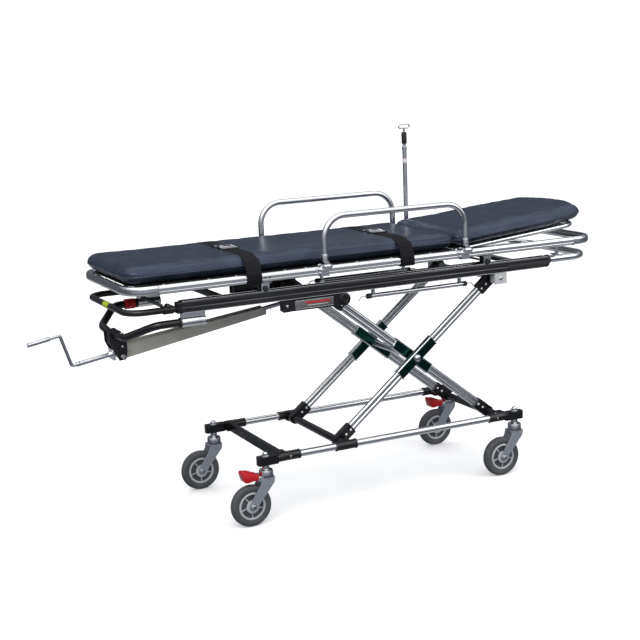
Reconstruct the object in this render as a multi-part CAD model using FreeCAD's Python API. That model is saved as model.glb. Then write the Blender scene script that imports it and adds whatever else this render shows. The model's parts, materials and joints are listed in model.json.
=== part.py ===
import FreeCAD, Part
import math
import os

# Stretcher trolley: a wheeled base, a crank-driven scissor lift, a carrying platform and a lift-off
# stretcher with a raising backrest.  Millimetres.  +X is the patient's head end, -X the foot end with
# the crank, +Z is up and the floor is z = 0.  Lengths along X are written from the middle of the base,
# and every piece is moved by ROW_SHIFT when it is saved, so the origin is under the middle of the
# whole length.

V = FreeCAD.Vector
Y_AXIS = V(0, 1, 0)

# ---- driving dimensions ------------------------------------------------------------------------
ROW_SHIFT = 162.5           # base middle, measured from the middle of the whole length

WHEEL_R = 75.0
WHEEL_W = 34.0
CASTER_X = 523.0            # stem positions
CASTER_Y = 242.5
CASTER_TRAIL = 63.0         # how far the axle trails behind the stem
STEM_R = 8.0
RUNNING = 0.05              # radial clearance of a pin in its bush

BASE_TUBE_Y = 245.0
BASE_TUBE_R = 12.5
BASE_Z = 232.0              # height of the base tubes and of the lower leg pivots
TUBE_WALL = 2.0

PIVOT_X = 461.0             # the two fixed leg pivots are above one another here
SLIDE_X = -207.0            # the two sliding leg pivots at full height
TOP_Z = 763.0               # height of the upper leg pivots
OUTER_LEG_Y = 185.0
INNER_LEG_Y = 150.0
LEG_END_W = 26.0            # width of the leg castings along Y
PIN_R = 10.0

RAIL_Y = 225.0
RAIL_W = 35.0
RAIL_BOTTOM = 784.0
RAIL_TOP = 826.0
RAIL_FOOT = -797.0
RAIL_HEAD = 686.0
TRACK_Z = 820.0             # floor of the roller track in the rail's top

SCREW_SLOPE = 0.155         # rise of the lift screw per unit of X
SCREW_REF = V(-986.0, 0.0, 625.0)
SCREW_R = 8.0
HOUSING_PIVOT = V(-946.0, 0.0, 621.0)

BED_Y = 252.0               # stretcher side tubes
BED_Z = 876.0
BED_TUBE_W = 22.0
BED_TUBE_H = 32.0
BED_FOOT = -990.0
BED_HEAD = 900.0
ROLLER_R = 14.5
ROLLER_XS = (-490.0, 413.0)

BACK_HINGE = V(280.0, 0.0, 882.0)
BACK_TUBE_X = 850.0         # outer end of the backrest frame, before it is tilted
BACK_TILT = 5.0             # degrees the backrest is raised at rest
PAD_BOTTOM = 892.5
PAD_TOP = 951.0
PAD_HALF_W = 238.0
PAD_FOOT = -980.0
PAD_HEAD = 945.0            # before the backrest is tilted
PAD_CORNER_R = 80.0
CORNER_STEPS = 6
MAIN_PAD_BEVEL = 30.0       # degrees from upright that each pad's end leans away from the hinge
BACK_PAD_BEVEL = 47.0

SIDE_RAIL_XS = (-273.0, 300.5)
SIDE_RAIL_Y = 268.0
SIDE_RAIL_R = 10.5
SIDE_RAIL_TOP = 1064.0
SIDE_HINGE_Y = 281.0
SIDE_HINGE_Z = 893.0

POLE_X = 373.0
POLE_Y = 284.0
POLE_Z = 868.0              # fold pivot of the infusion pole
POLE_ROD_R = 6.5            # the part that slides in and out
POLE_TUBE_TOP = 1236.0
POLE_RING_Z = 1318.0

SIDES = (-1, 1)             # near side, far side

LEG_LENGTH = math.hypot(PIVOT_X - SLIDE_X, TOP_Z - BASE_Z)
LEG_ANGLE = math.degrees(math.atan2(TOP_Z - BASE_Z, PIVOT_X - SLIDE_X))
MIDDLE = V((PIVOT_X + SLIDE_X) / 2, 0, (BASE_Z + TOP_Z) / 2)
SCREW_ANGLE = math.degrees(math.atan(SCREW_SLOPE))


# ---- helpers -----------------------------------------------------------------------------------
def save(node, *shapes):
    """Writes one named sub-part, made of one or more separate solids."""
    solids = []
    for shape in shapes:
        solids.extend(shape.Solids)
    moved = [solid.translated(V(ROW_SHIFT, 0, 0)) for solid in solids]
    whole = moved[0] if len(moved) == 1 else Part.makeCompound(moved)
    whole.exportStep("parts/" + node + ".step")


def rod(start, end, radius):
    """A round bar from one point to another."""
    span = end - start
    return Part.makeCylinder(radius, span.Length, start, span)


def pipe(start, end, radius, wall=TUBE_WALL):
    """A straight tube, open at both ends."""
    return rod(start, end, radius).cut(rod(start, end, radius - wall))


def cross_rod(x, z, y0, y1, radius):
    """A round bar along Y."""
    return rod(V(x, y0, z), V(x, y1, z), radius)


def block(x0, x1, y0, y1, z0, z1):
    """A box from its lowest to its highest corner; y0 and y1 may come in either order."""
    low = min(y0, y1)
    return Part.makeBox(x1 - x0, abs(y1 - y0), z1 - z0, V(x0, low, z0))


def plate_xz(outline, y0, y1):
    """An outline of (x, z) points, made solid between two values of Y."""
    points = [V(x, y0, z) for x, z in outline]
    face = Part.Face(Part.makePolygon(points + points[:1]))
    return face.extrude(V(0, y1 - y0, 0))


def plate_yz(outline, x0, x1):
    """An outline of (y, z) points, made solid between two values of X."""
    points = [V(x0, y, z) for y, z in outline]
    face = Part.Face(Part.makePolygon(points + points[:1]))
    return face.extrude(V(x1 - x0, 0, 0))


def slab(outline, bottom, top):
    """An outline of (x, y) points, made solid between two heights."""
    points = [V(x, y, bottom) for x, y in outline]
    face = Part.Face(Part.makePolygon(points + points[:1]))
    return face.extrude(V(0, 0, top - bottom))


def mirrored(shape):
    """The same piece on the other side of the trolley."""
    return shape.mirror(V(0, 0, 0), Y_AXIS)


def pair(shape):
    """A near-side piece and its far-side twin."""
    return [shape, mirrored(shape)]


def rounded(shape, radius, keep=lambda edge: True):
    """The shape with the chosen edges rounded."""
    return shape.makeFillet(radius, [edge for edge in shape.Edges if keep(edge)])


def path(points, bend):
    """Straight runs through the points, joined by tangent arcs of one bend radius."""
    edges = []
    start = points[0]
    for before, corner, after in zip(points, points[1:], points[2:]):
        back = (before - corner).normalize()
        ahead = (after - corner).normalize()
        half_turn = (math.pi - back.getAngle(ahead)) / 2
        cut = bend * math.tan(half_turn)
        arc_start = corner + back * cut
        arc_end = corner + ahead * cut
        centre = corner + (back + ahead).normalize() * (bend / math.cos(half_turn))
        middle = centre + (corner - centre).normalize() * bend
        edges.append(Part.LineSegment(start, arc_start).toShape())
        edges.append(Part.Arc(arc_start, middle, arc_end).toShape())
        start = arc_end
    edges.append(Part.LineSegment(start, points[-1]).toShape())
    return Part.Wire(edges)


def swept(points, bend, section):
    """A bar whose section follows a bent path; the section is a wire at the path's first point."""
    return path(points, bend).makePipeShell([section], True, False)


def ring(at, direction, radius):
    """A circle to sweep."""
    return Part.Wire([Part.makeCircle(radius, at, direction)])


def bent_tube(points, bend, radius, wall=TUBE_WALL):
    """A round tube along a bent path, open at both ends."""
    direction = points[1] - points[0]
    outer = swept(points, bend, ring(points[0], direction, radius))
    inner = swept(points, bend, ring(points[0], direction, radius - wall))
    return outer.cut(inner)


def along_leg(shape, pivot, angle):
    """Turns a piece built along +X from a pivot at the origin into a leg's own direction."""
    turned = shape.copy()
    turned.rotate(V(0, 0, 0), Y_AXIS, -angle)
    turned.translate(pivot)
    return turned


# ---- base --------------------------------------------------------------------------------------
CASTING_R = 16.5
CASTING_INNER_Y = 215.0     # where the crossbars meet the castings
BOSS_END = 32.0             # how far a boss reaches past its stem
SOCKET_END_FOOT = -394.0
SOCKET_END_HEAD = 408.0
TUBE_END_X = 500.0
FOOT_BAR_X = -460.0
CROSS_R = 14.0
BOSS_BOTTOM = BASE_Z - 18.0
BOSS_TOP = BASE_Z + 13.0


def corner_casting(x_sign, bar_x, socket_end):
    """A cast corner: a boss for the caster stem, a socket for the side tube, a stub for the crossbar."""
    outer = x_sign * (CASTER_X + BOSS_END)
    inner = x_sign * (CASTER_X - 47.0)
    boss = block(min(outer, inner), max(outer, inner), -BASE_TUBE_Y - 16.0, -BASE_TUBE_Y + 16.0,
                 BOSS_BOTTOM, BOSS_TOP)
    boss = rounded(boss, 9.0, lambda edge: abs(edge.tangentAt(edge.FirstParameter).z) > 0.9)
    socket = rod(V(inner, -BASE_TUBE_Y, BASE_Z), V(socket_end, -BASE_TUBE_Y, BASE_Z), CASTING_R)
    stub = block(bar_x - 18.0, bar_x + 18.0, -BASE_TUBE_Y, -CASTING_INNER_Y, BOSS_BOTTOM, BASE_Z + 18.0)
    stub = rounded(stub, 5.0, lambda edge: abs(edge.tangentAt(edge.FirstParameter).y) > 0.9)
    tube_seat = rod(V(x_sign * TUBE_END_X, -BASE_TUBE_Y, BASE_Z), V(0, -BASE_TUBE_Y, BASE_Z), BASE_TUBE_R)
    stem_hole = rod(V(x_sign * CASTER_X, -CASTER_Y, 0), V(x_sign * CASTER_X, -CASTER_Y, 300), STEM_R)
    return boss.fuse([socket, stub]).removeSplitter().cut(tube_seat).cut(stem_hole)


def make_base():
    side_tube = pipe(V(-TUBE_END_X, -BASE_TUBE_Y, BASE_Z), V(TUBE_END_X, -BASE_TUBE_Y, BASE_Z), BASE_TUBE_R)
    save("base_side_tubes", *pair(side_tube))

    foot_corner = corner_casting(-1, FOOT_BAR_X, SOCKET_END_FOOT)
    head_corner = corner_casting(1, PIVOT_X, SOCKET_END_HEAD)
    save("corner_castings", *pair(foot_corner), *pair(head_corner))

    foot_bar = block(FOOT_BAR_X - 10.0, FOOT_BAR_X + 10.0, -CASTING_INNER_Y, CASTING_INNER_Y,
                     BASE_Z - 16.0, BASE_Z + 16.0)
    foot_bar = rounded(foot_bar, 3.0, lambda edge: abs(edge.tangentAt(edge.FirstParameter).y) > 0.9)
    head_bar = cross_rod(PIVOT_X, BASE_Z, -CASTING_INNER_Y, CASTING_INNER_Y, CROSS_R)
    head_bar = head_bar.cut(cross_rod(PIVOT_X, BASE_Z, -CASTING_INNER_Y, CASTING_INNER_Y,
                                      CROSS_R - TUBE_WALL))
    save("base_crossbars", foot_bar, head_bar)


# ---- casters -----------------------------------------------------------------------------------
FORK_TOP = 172.0
HEAD_TOP = 197.0
HEAD_R = 24.0
FORK_INNER = 20.0
FORK_PLATE = 4.0
AXLE_R = 5.0
RIM_R = 50.0
STEM_TOP = BOSS_TOP


def caster_stem(x, y):
    """The bolt through the boss: a retaining head, a spacer, the shank and a domed nut on top."""
    shank = rod(V(x, y, 158), V(x, y, STEM_TOP), STEM_R)
    keeper = rod(V(x, y, 156), V(x, y, FORK_TOP - 6.5), 13.0)
    spacer = rod(V(x, y, HEAD_TOP + 0.5), V(x, y, BOSS_BOTTOM), 13.0)
    nut = rod(V(x, y, STEM_TOP), V(x, y, STEM_TOP + 3.0), 13.0)
    dome = Part.makeSphere(9.5, V(x, y, STEM_TOP + 3.0), V(0, 0, 1), 0, 90, 360)
    return shank.fuse([keeper, spacer, nut, dome]).removeSplitter()


def caster_fork(x, y):
    """Swivel head and two slanting legs around the wheel, with the axle bolt through them."""
    axle_x = x - CASTER_TRAIL
    outline = [(x - 26, FORK_TOP), (x + 24, FORK_TOP), (x + 21, 152), (axle_x + 13, 68),
               (axle_x, 61), (axle_x - 13, 68), (axle_x - 13, 84), (x - 31, 150)]
    legs = []
    for side in SIDES:
        inner = y + side * FORK_INNER
        leg = plate_xz(outline, inner, inner + side * FORK_PLATE)
        legs.append(leg)
    crown = block(x - 26, x + 24, y - FORK_INNER, y + FORK_INNER, FORK_TOP - 6.0, FORK_TOP)
    head = rod(V(x, y, FORK_TOP), V(x, y, HEAD_TOP), HEAD_R)
    head = rounded(head, 5.0, lambda edge: edge.BoundBox.ZMin > HEAD_TOP - 1)
    half_axle = FORK_INNER + FORK_PLATE
    axle = cross_rod(axle_x, WHEEL_R, y - half_axle, y + half_axle, AXLE_R)
    nuts = [cross_rod(axle_x, WHEEL_R, y + side * half_axle, y + side * (half_axle + 5.0), 9.0)
            for side in SIDES]
    body = legs[0].fuse([legs[1], crown, head, axle] + nuts).removeSplitter()
    return body.cut(rod(V(x, y, 140), V(x, y, 210), STEM_R + RUNNING))


def wheel_rim(x, y):
    """Hub, rim ring and five spokes."""
    hub = cross_rod(x, WHEEL_R, y - 18.0, y + 18.0, 17.0)
    band = cross_rod(x, WHEEL_R, y - 13.0, y + 13.0, RIM_R)
    band = band.cut(cross_rod(x, WHEEL_R, y - 13.0, y + 13.0, RIM_R - 6.0))
    spokes = []
    for index in range(5):
        spoke = block(x + 12.0, x + RIM_R - 5.0, y - 6.0, y + 6.0, WHEEL_R - 6.5, WHEEL_R + 6.5)
        spoke.rotate(V(x, y, WHEEL_R), Y_AXIS, 90 + 72 * index)
        spokes.append(spoke)
    rim = hub.fuse([band] + spokes).removeSplitter()
    return rim.cut(cross_rod(x, WHEEL_R, y - 20.0, y + 20.0, AXLE_R + RUNNING))


def wheel_tyre(x, y):
    """A solid tyre with a rounded tread."""
    tyre = cross_rod(x, WHEEL_R, y - WHEEL_W / 2, y + WHEEL_W / 2, WHEEL_R)
    tyre = rounded(tyre, 9.0, lambda edge: edge.Closed)
    return tyre.cut(cross_rod(x, WHEEL_R, y - WHEEL_W, y + WHEEL_W, RIM_R))


def brake_pedal(x, y):
    """A foot pedal behind the fork crown, on its own pin."""
    hinge_x = x - 33.0
    hinge_z = FORK_TOP + 4.0
    barrel = cross_rod(hinge_x, hinge_z, y - 15.0, y + 15.0, 5.0)
    outline = [(hinge_x + 1, hinge_z + 4.5), (hinge_x - 20, hinge_z + 8), (hinge_x - 42, hinge_z + 17),
               (hinge_x - 54, hinge_z + 14), (hinge_x - 56, hinge_z + 4), (hinge_x - 48, hinge_z - 3),
               (hinge_x - 24, hinge_z - 2), (hinge_x - 1, hinge_z - 4.5)]
    tread = plate_xz(outline, y - 19.0, y + 19.0)
    tread = rounded(tread, 1.2)
    pedal = barrel.fuse(tread).removeSplitter()
    return pedal.cut(cross_rod(hinge_x, hinge_z, y - 25.0, y + 25.0, 2.5 + RUNNING))


def pedal_lugs(x, y):
    """Two ears behind the crown and the pedal's pin between them."""
    hinge_x = x - 33.0
    hinge_z = FORK_TOP + 4.0
    inner, outer = 19.5, 23.5
    ears = []
    for side in SIDES:
        ears.append(block(hinge_x - 5.5, x - 20.0, y + side * inner, y + side * outer, FORK_TOP - 8,
                          hinge_z + 5.5))
    pin = cross_rod(hinge_x, hinge_z, y - outer, y + outer, 2.5)
    return [ears[0], ears[1], pin]


def make_casters():
    places = {"near_foot": (-CASTER_X, -CASTER_Y), "far_foot": (-CASTER_X, CASTER_Y),
              "near_head": (CASTER_X, -CASTER_Y), "far_head": (CASTER_X, CASTER_Y)}
    braked = ("near_foot", "far_head")
    save("caster_stems", *[caster_stem(x, y) for x, y in places.values()])
    for name, (x, y) in places.items():
        fork = caster_fork(x, y)
        if name in braked:
            fork = fork.fuse(pedal_lugs(x, y)).removeSplitter()
            save("brake_pedal_" + name, brake_pedal(x, y))
        save("fork_" + name, fork)
        save("rim_" + name, wheel_rim(x - CASTER_TRAIL, y))
        save("tyre_" + name, wheel_tyre(x - CASTER_TRAIL, y))


# ---- scissor legs ------------------------------------------------------------------------------
END_R = 21.0                # round end of a leg casting
END_LENGTH = 72.0           # pivot to the end of the casting
SLEEVE_HALF = 92.0
SLEEVE_R = 21.0
BARREL_R = 9.5              # each of the leg's two barrels
BARREL_GAP = 8.5            # barrel centres, either side of the leg's middle line
PIVOT_PIN_R = 8.0


def leg_profile(y, x0, x1, grow=0.0):
    """The twin-barrel leg section, grown evenly where a sleeve must clear it."""
    radius = BARREL_R + grow
    barrels = [rod(V(x0, y, side * BARREL_GAP), V(x1, y, side * BARREL_GAP), radius) for side in SIDES]
    web = block(x0, x1, y - 6.5 - grow, y + 6.5 + grow, -BARREL_GAP, BARREL_GAP)
    return barrels[0].fuse([barrels[1], web]).removeSplitter()


def leg_tube(y):
    """One hollow leg, from the end of one casting to the end of the other."""
    x0 = END_LENGTH
    x1 = LEG_LENGTH - END_LENGTH
    leg = leg_profile(y, x0, x1)
    for side in SIDES:
        leg = leg.cut(rod(V(x0, y, side * BARREL_GAP), V(x1, y, side * BARREL_GAP), BARREL_R - TUBE_WALL))
    return leg.cut(cross_rod(LEG_LENGTH / 2, 0, y - 20.0, y + 20.0, PIVOT_PIN_R + 0.5))


def leg_end(y, pin_radius, at_far_end):
    """The casting at a leg's end: a bush round its shaft and a flat block on the leg."""
    bush = cross_rod(0, 0, y - LEG_END_W / 2, y + LEG_END_W / 2, END_R)
    arm = block(0, END_LENGTH, y - LEG_END_W / 2, y + LEG_END_W / 2, -END_R, END_R)
    arm = rounded(arm, 4.0, lambda edge: edge.BoundBox.XMin > END_LENGTH - 1)
    casting = bush.fuse(arm).removeSplitter()
    casting = casting.cut(cross_rod(0, 0, y - 30.0, y + 30.0, pin_radius + RUNNING))
    if at_far_end:
        casting.rotate(V(0, 0, 0), Y_AXIS, 180)
        casting.translate(V(LEG_LENGTH, 0, 0))
    return casting


def pivot_sleeve(y, hole_radius):
    """The reinforcing sleeve round the middle of a leg."""
    x0 = LEG_LENGTH / 2 - SLEEVE_HALF
    x1 = LEG_LENGTH / 2 + SLEEVE_HALF
    sleeve = block(x0, x1, y - LEG_END_W / 2, y + LEG_END_W / 2, -SLEEVE_R, SLEEVE_R)
    sleeve = rounded(sleeve, 8.0, lambda edge: abs(edge.tangentAt(edge.FirstParameter).x) > 0.9)
    sleeve = sleeve.cut(leg_profile(y, x0 - 1, x1 + 1, grow=0.25))
    return sleeve.cut(cross_rod(LEG_LENGTH / 2, 0, y - 20.0, y + 20.0, hole_radius))


def make_legs():
    outer_pivot = V(SLIDE_X, 0, BASE_Z)
    outer_turn = LEG_ANGLE
    inner_pivot = V(PIVOT_X, 0, BASE_Z)
    inner_turn = 180.0 - LEG_ANGLE

    def placed(shape, outer):
        pivot = outer_pivot if outer else inner_pivot
        return along_leg(shape, pivot, outer_turn if outer else inner_turn)

    for name, leg_y, outer in (("outer", OUTER_LEG_Y, True), ("inner", INNER_LEG_Y, False)):
        save(name + "_leg_tubes", *pair(placed(leg_tube(-leg_y), outer)))
        ends = pair(placed(leg_end(-leg_y, CROSS_R, False), outer))
        ends += pair(placed(leg_end(-leg_y, PIN_R, True), outer))
        save(name + "_leg_ends", *ends)
        hole = PIVOT_PIN_R + RUNNING if outer else PIVOT_PIN_R
        save(name + "_pivot_sleeves", *pair(placed(pivot_sleeve(-leg_y, hole), outer)))

    inner_face = INNER_LEG_Y - LEG_END_W / 2
    outer_face = OUTER_LEG_Y + LEG_END_W / 2
    between = (INNER_LEG_Y + LEG_END_W / 2 + 0.3, OUTER_LEG_Y - LEG_END_W / 2 - 0.3)
    tube = cross_rod(MIDDLE.x, MIDDLE.z, -inner_face, inner_face, 12.5)
    tube = tube.cut(cross_rod(MIDDLE.x, MIDDLE.z, -inner_face + 20, inner_face - 20, 12.5 - TUBE_WALL))
    pins = []
    for side in SIDES:
        pins.append(cross_rod(MIDDLE.x, MIDDLE.z, side * inner_face, side * (outer_face + 4.5), PIVOT_PIN_R))
        pins.append(cross_rod(MIDDLE.x, MIDDLE.z, side * between[0], side * between[1], 14.0))
        pins.append(cross_rod(MIDDLE.x, MIDDLE.z, side * (outer_face + 0.5), side * (outer_face + 5.5), 12.0))
    save("centre_cross_shaft", tube.fuse(pins).removeSplitter())


def make_lower_carriage():
    """Two sleeves that run on the base tubes, and the crossbar that the outer legs turn on."""
    centre = V(SLIDE_X, -BASE_TUBE_Y, BASE_Z)
    half = V(39.0, 0, 0)
    sleeve = rod(centre - half, centre + half, CASTING_R)
    stub_half = 18.0
    stub = block(SLIDE_X - stub_half, SLIDE_X + stub_half, -BASE_TUBE_Y, -CASTING_INNER_Y, BASE_Z - stub_half,
                 BASE_Z + stub_half)
    stub = rounded(stub, 5.0, lambda edge: abs(edge.tangentAt(edge.FirstParameter).y) > 0.9)
    sleeve = sleeve.fuse(stub).removeSplitter()
    sleeve = sleeve.cut(rod(centre - half * 1.5, centre + half * 1.5, BASE_TUBE_R + RUNNING))
    bar = pipe(V(SLIDE_X, -CASTING_INNER_Y, BASE_Z), V(SLIDE_X, CASTING_INNER_Y, BASE_Z), CROSS_R)
    save("lower_carriage", *pair(sleeve), bar)


# ---- upper carriage: shaft, nut and slide blocks -------------------------------------------------
SLIDER_Y = (208.0, 232.5)
GUIDE_INNER_BOTTOM = TOP_Z - 17.5
GUIDE_INNER_TOP = TOP_Z + 17.5
NUT_HALF = 24.0


def make_upper_carriage():
    screw_z = SCREW_REF.z + SCREW_SLOPE * (SLIDE_X - SCREW_REF.x)
    nut = block(SLIDE_X - NUT_HALF, SLIDE_X + NUT_HALF, -NUT_HALF, NUT_HALF, screw_z - 18.0, TOP_Z + 14.0)
    nut = rounded(nut, 4.0, lambda edge: abs(edge.tangentAt(edge.FirstParameter).y) > 0.9)
    reach = V(NUT_HALF + 10.0, 0, (NUT_HALF + 10.0) * SCREW_SLOPE)
    centre = V(SLIDE_X, 0, screw_z)
    for lift in (-2.0, 0.0, 2.0):
        offset = V(0, 0, lift)
        nut = nut.cut(rod(centre - reach + offset, centre + reach + offset, SCREW_R + 0.4))
    stubs = []
    for side in SIDES:
        stubs.append(cross_rod(SLIDE_X, TOP_Z, side * (NUT_HALF - 2.0), side * SLIDER_Y[1], PIN_R))
    save("drive_shaft", nut.fuse(stubs).removeSplitter())

    slider = block(SLIDE_X - 20.0, SLIDE_X + 15.0, -SLIDER_Y[1], -SLIDER_Y[0], TOP_Z - 17.0, TOP_Z + 17.0)
    slider = rounded(slider, 3.0, lambda edge: abs(edge.tangentAt(edge.FirstParameter).y) > 0.9)
    slider = slider.cut(cross_rod(SLIDE_X, TOP_Z, -240, -200, PIN_R))
    save("slider_blocks", *pair(slider))


# ---- platform ----------------------------------------------------------------------------------
GUIDE_X = (-423.0, -186.0)
HEAD_LOOP_X = 900.0
HEAD_LOOP_Z = 811.0
FOOT_LOOP_X = -990.0
FOOT_LOOP_Z = 800.0
TEE_X = -856.0
SOCKET_Z = 752.0
SOCKET_HEAD = -711.0
SOCKET_R = 17.0
FRAME_TUBE_R = 13.5


def make_rails():
    half = RAIL_W / 2
    rail = block(RAIL_FOOT, RAIL_HEAD, -RAIL_Y - half, -RAIL_Y + half, RAIL_BOTTOM, RAIL_TOP)
    rail = rounded(rail, 6.0, lambda edge: abs(edge.tangentAt(edge.FirstParameter).x) > 0.9)
    rail = rail.cut(block(RAIL_FOOT, RAIL_HEAD, -RAIL_Y - 12.5, -RAIL_Y + 12.5, TRACK_Z, RAIL_TOP + 1))
    rail = rail.cut(block(RAIL_FOOT, RAIL_HEAD, -RAIL_Y - 13.5, -RAIL_Y + 13.5, RAIL_BOTTOM + 3, TRACK_Z - 3))
    groove_y = -RAIL_Y - half - 3.0
    groove_z = (RAIL_BOTTOM + RAIL_TOP) / 2
    rail = rail.cut(rod(V(RAIL_FOOT, groove_y, groove_z), V(RAIL_HEAD, groove_y, groove_z), 5.0))
    save("platform_rails", *pair(rail))

    points = [V(RAIL_HEAD, -RAIL_Y, HEAD_LOOP_Z), V(HEAD_LOOP_X - 14, -RAIL_Y, HEAD_LOOP_Z),
              V(HEAD_LOOP_X - 14, RAIL_Y, HEAD_LOOP_Z), V(RAIL_HEAD, RAIL_Y, HEAD_LOOP_Z)]
    save("head_loop", bent_tube(points, 80.0, 14.0))


def make_foot_loop():
    """The loop at the foot end and the cast fittings that join it to the rails."""
    loop_y = RAIL_Y - 3.0
    points = [V(TEE_X, -loop_y, FOOT_LOOP_Z), V(FOOT_LOOP_X + 11, -loop_y, FOOT_LOOP_Z),
              V(FOOT_LOOP_X + 11, loop_y, FOOT_LOOP_Z), V(TEE_X, loop_y, FOOT_LOOP_Z)]
    loop = bent_tube(points, 62.0, 11.0)
    tee = rod(V(TEE_X, -loop_y, FOOT_LOOP_Z), V(TEE_X + 34, -loop_y, FOOT_LOOP_Z), 14.5)
    neck = rod(V(TEE_X + 34, -loop_y, FOOT_LOOP_Z), V(RAIL_FOOT - 12, -loop_y, FOOT_LOOP_Z), 11.0)
    collar = block(RAIL_FOOT - 14, RAIL_FOOT, -RAIL_Y - 17, -RAIL_Y + 17, RAIL_BOTTOM + 1, RAIL_TOP - 3)
    collar = rounded(collar, 5.0, lambda edge: abs(edge.tangentAt(edge.FirstParameter).x) > 0.9)
    ear = cross_rod(TEE_X + 17, FOOT_LOOP_Z + 10, -loop_y - 9, -loop_y + 9, 11.0)
    fitting = tee.fuse([neck, collar, ear]).removeSplitter()
    save("foot_loop", loop, *pair(fitting))


def make_crank_frame():
    """The bowed tube at the foot end, its sockets under the rails, and the bracket for the screw."""
    near = [V(RAIL_FOOT, -RAIL_Y, SOCKET_Z), V(-885, -RAIL_Y, SOCKET_Z), V(-965, -128, 704)]
    far = [V(p.x, -p.y, p.z) for p in reversed(near)]
    tube = bent_tube(near + [V(-965, 0, 690)] + far, 52.0, FRAME_TUBE_R, 2.5)
    cheeks = []
    for side in SIDES:
        outline = [(-990, 706), (-950, 712), (-930, 690), (-928, 640), (-934, 608), (-958, 606), (-988, 668)]
        cheeks.append(plate_xz(outline, side * 27.0, side * 32.0))
    saddle = block(-984, -946, -27, 27, 664, 708)
    hollow = rod(V(-965, -40, 694.4), V(-965, 0, 690), FRAME_TUBE_R + 0.3)
    hollow_far = mirrored(hollow)
    middle = Part.makeSphere(FRAME_TUBE_R + 0.6, V(-965, 0, 690))
    bracket = saddle.fuse(cheeks).removeSplitter().cut(hollow).cut(hollow_far).cut(middle)
    pins = [cross_rod(HOUSING_PIVOT.x, HOUSING_PIVOT.z, side * 23.3, side * 36.0, 5.0) for side in SIDES]
    bracket = bracket.fuse(pins).removeSplitter()
    save("crank_frame", tube, bracket)

    socket = rod(V(RAIL_FOOT, -RAIL_Y, SOCKET_Z), V(SOCKET_HEAD, -RAIL_Y, SOCKET_Z), SOCKET_R)
    web = block(RAIL_FOOT, SOCKET_HEAD, -RAIL_Y - 7, -RAIL_Y + 7, SOCKET_Z + 12, RAIL_BOTTOM)
    save("frame_sockets", *pair(socket.fuse(web).removeSplitter()))

    sleeve_end = RAIL_FOOT - 10.0
    sleeve = rod(V(sleeve_end - 40, RAIL_Y, SOCKET_Z), V(sleeve_end, RAIL_Y, SOCKET_Z), 18.0)
    sleeve = rounded(sleeve, 3.0)
    save("release_sleeve", sleeve.cut(rod(V(-900, RAIL_Y, SOCKET_Z), V(-700, RAIL_Y, SOCKET_Z),
                                          FRAME_TUBE_R + RUNNING)))


def make_guides_and_pivots():
    outer = -238.0
    inner = -204.0
    channel = block(GUIDE_X[0], GUIDE_X[1], outer, inner, TOP_Z - 21.0, RAIL_BOTTOM)
    channel = channel.fuse(rod(V(GUIDE_X[1], outer, TOP_Z), V(GUIDE_X[1], inner, TOP_Z), 21.0))
    channel = channel.removeSplitter()
    hollow = block(GUIDE_X[0] + 4.0, GUIDE_X[1] - 2.0, outer + 4.0, inner + 1.0, GUIDE_INNER_BOTTOM,
                   GUIDE_INNER_TOP)
    channel = channel.cut(hollow)
    rim = block(GUIDE_X[0] - 4.0, GUIDE_X[0] + 20.0, outer - 4.0, outer, TOP_Z - 21.0, TOP_Z + 15.0)
    save("guide_channels", *pair(channel.fuse(rim).removeSplitter()))

    plate = block(444, 497, -242.5, -238.0, 743.0, RAIL_BOTTOM)
    hanger = block(PIVOT_X - 16, PIVOT_X + 30, -238.0, -210.0, TOP_Z - 16, RAIL_BOTTOM)
    hanger = hanger.cut(cross_rod(PIVOT_X, TOP_Z, -240, -200, PIN_R))
    axle = cross_rod(PIVOT_X, TOP_Z, -238.0, 238.0, PIN_R)
    save("upper_pivot_mounts", *pair(plate), *pair(hanger), axle)

    guide = block(-240, 420, -206.0, -190.0, RAIL_TOP - 20, RAIL_TOP + 3)
    guide = rounded(guide, 3.0, lambda edge: abs(edge.tangentAt(edge.FirstParameter).x) > 0.9)
    bars = []
    for x in (-600.0, 620.0):
        bars.append(block(x - 15, x + 15, -207.5, 207.5, RAIL_BOTTOM + 4, RAIL_BOTTOM + 18))
    save("platform_crossbars", *bars, *pair(guide))

    spring_rod = rod(V(-75, -207, TOP_Z - 8), V(333, -207, TOP_Z - 8), 8.5)
    tabs = [block(x - 4, x + 4, -215, -199, TOP_Z - 1, RAIL_BOTTOM) for x in (-55.0, 310.0)]
    save("lock_rods", *pair(spring_rod.fuse(tabs).removeSplitter()))


# ---- lift screw and crank ------------------------------------------------------------------------
def screw_point(x, lift=0.0):
    """A point on the screw's axis, or square above it."""
    return V(x, 0, SCREW_REF.z + SCREW_SLOPE * (x - SCREW_REF.x) + lift)


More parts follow.
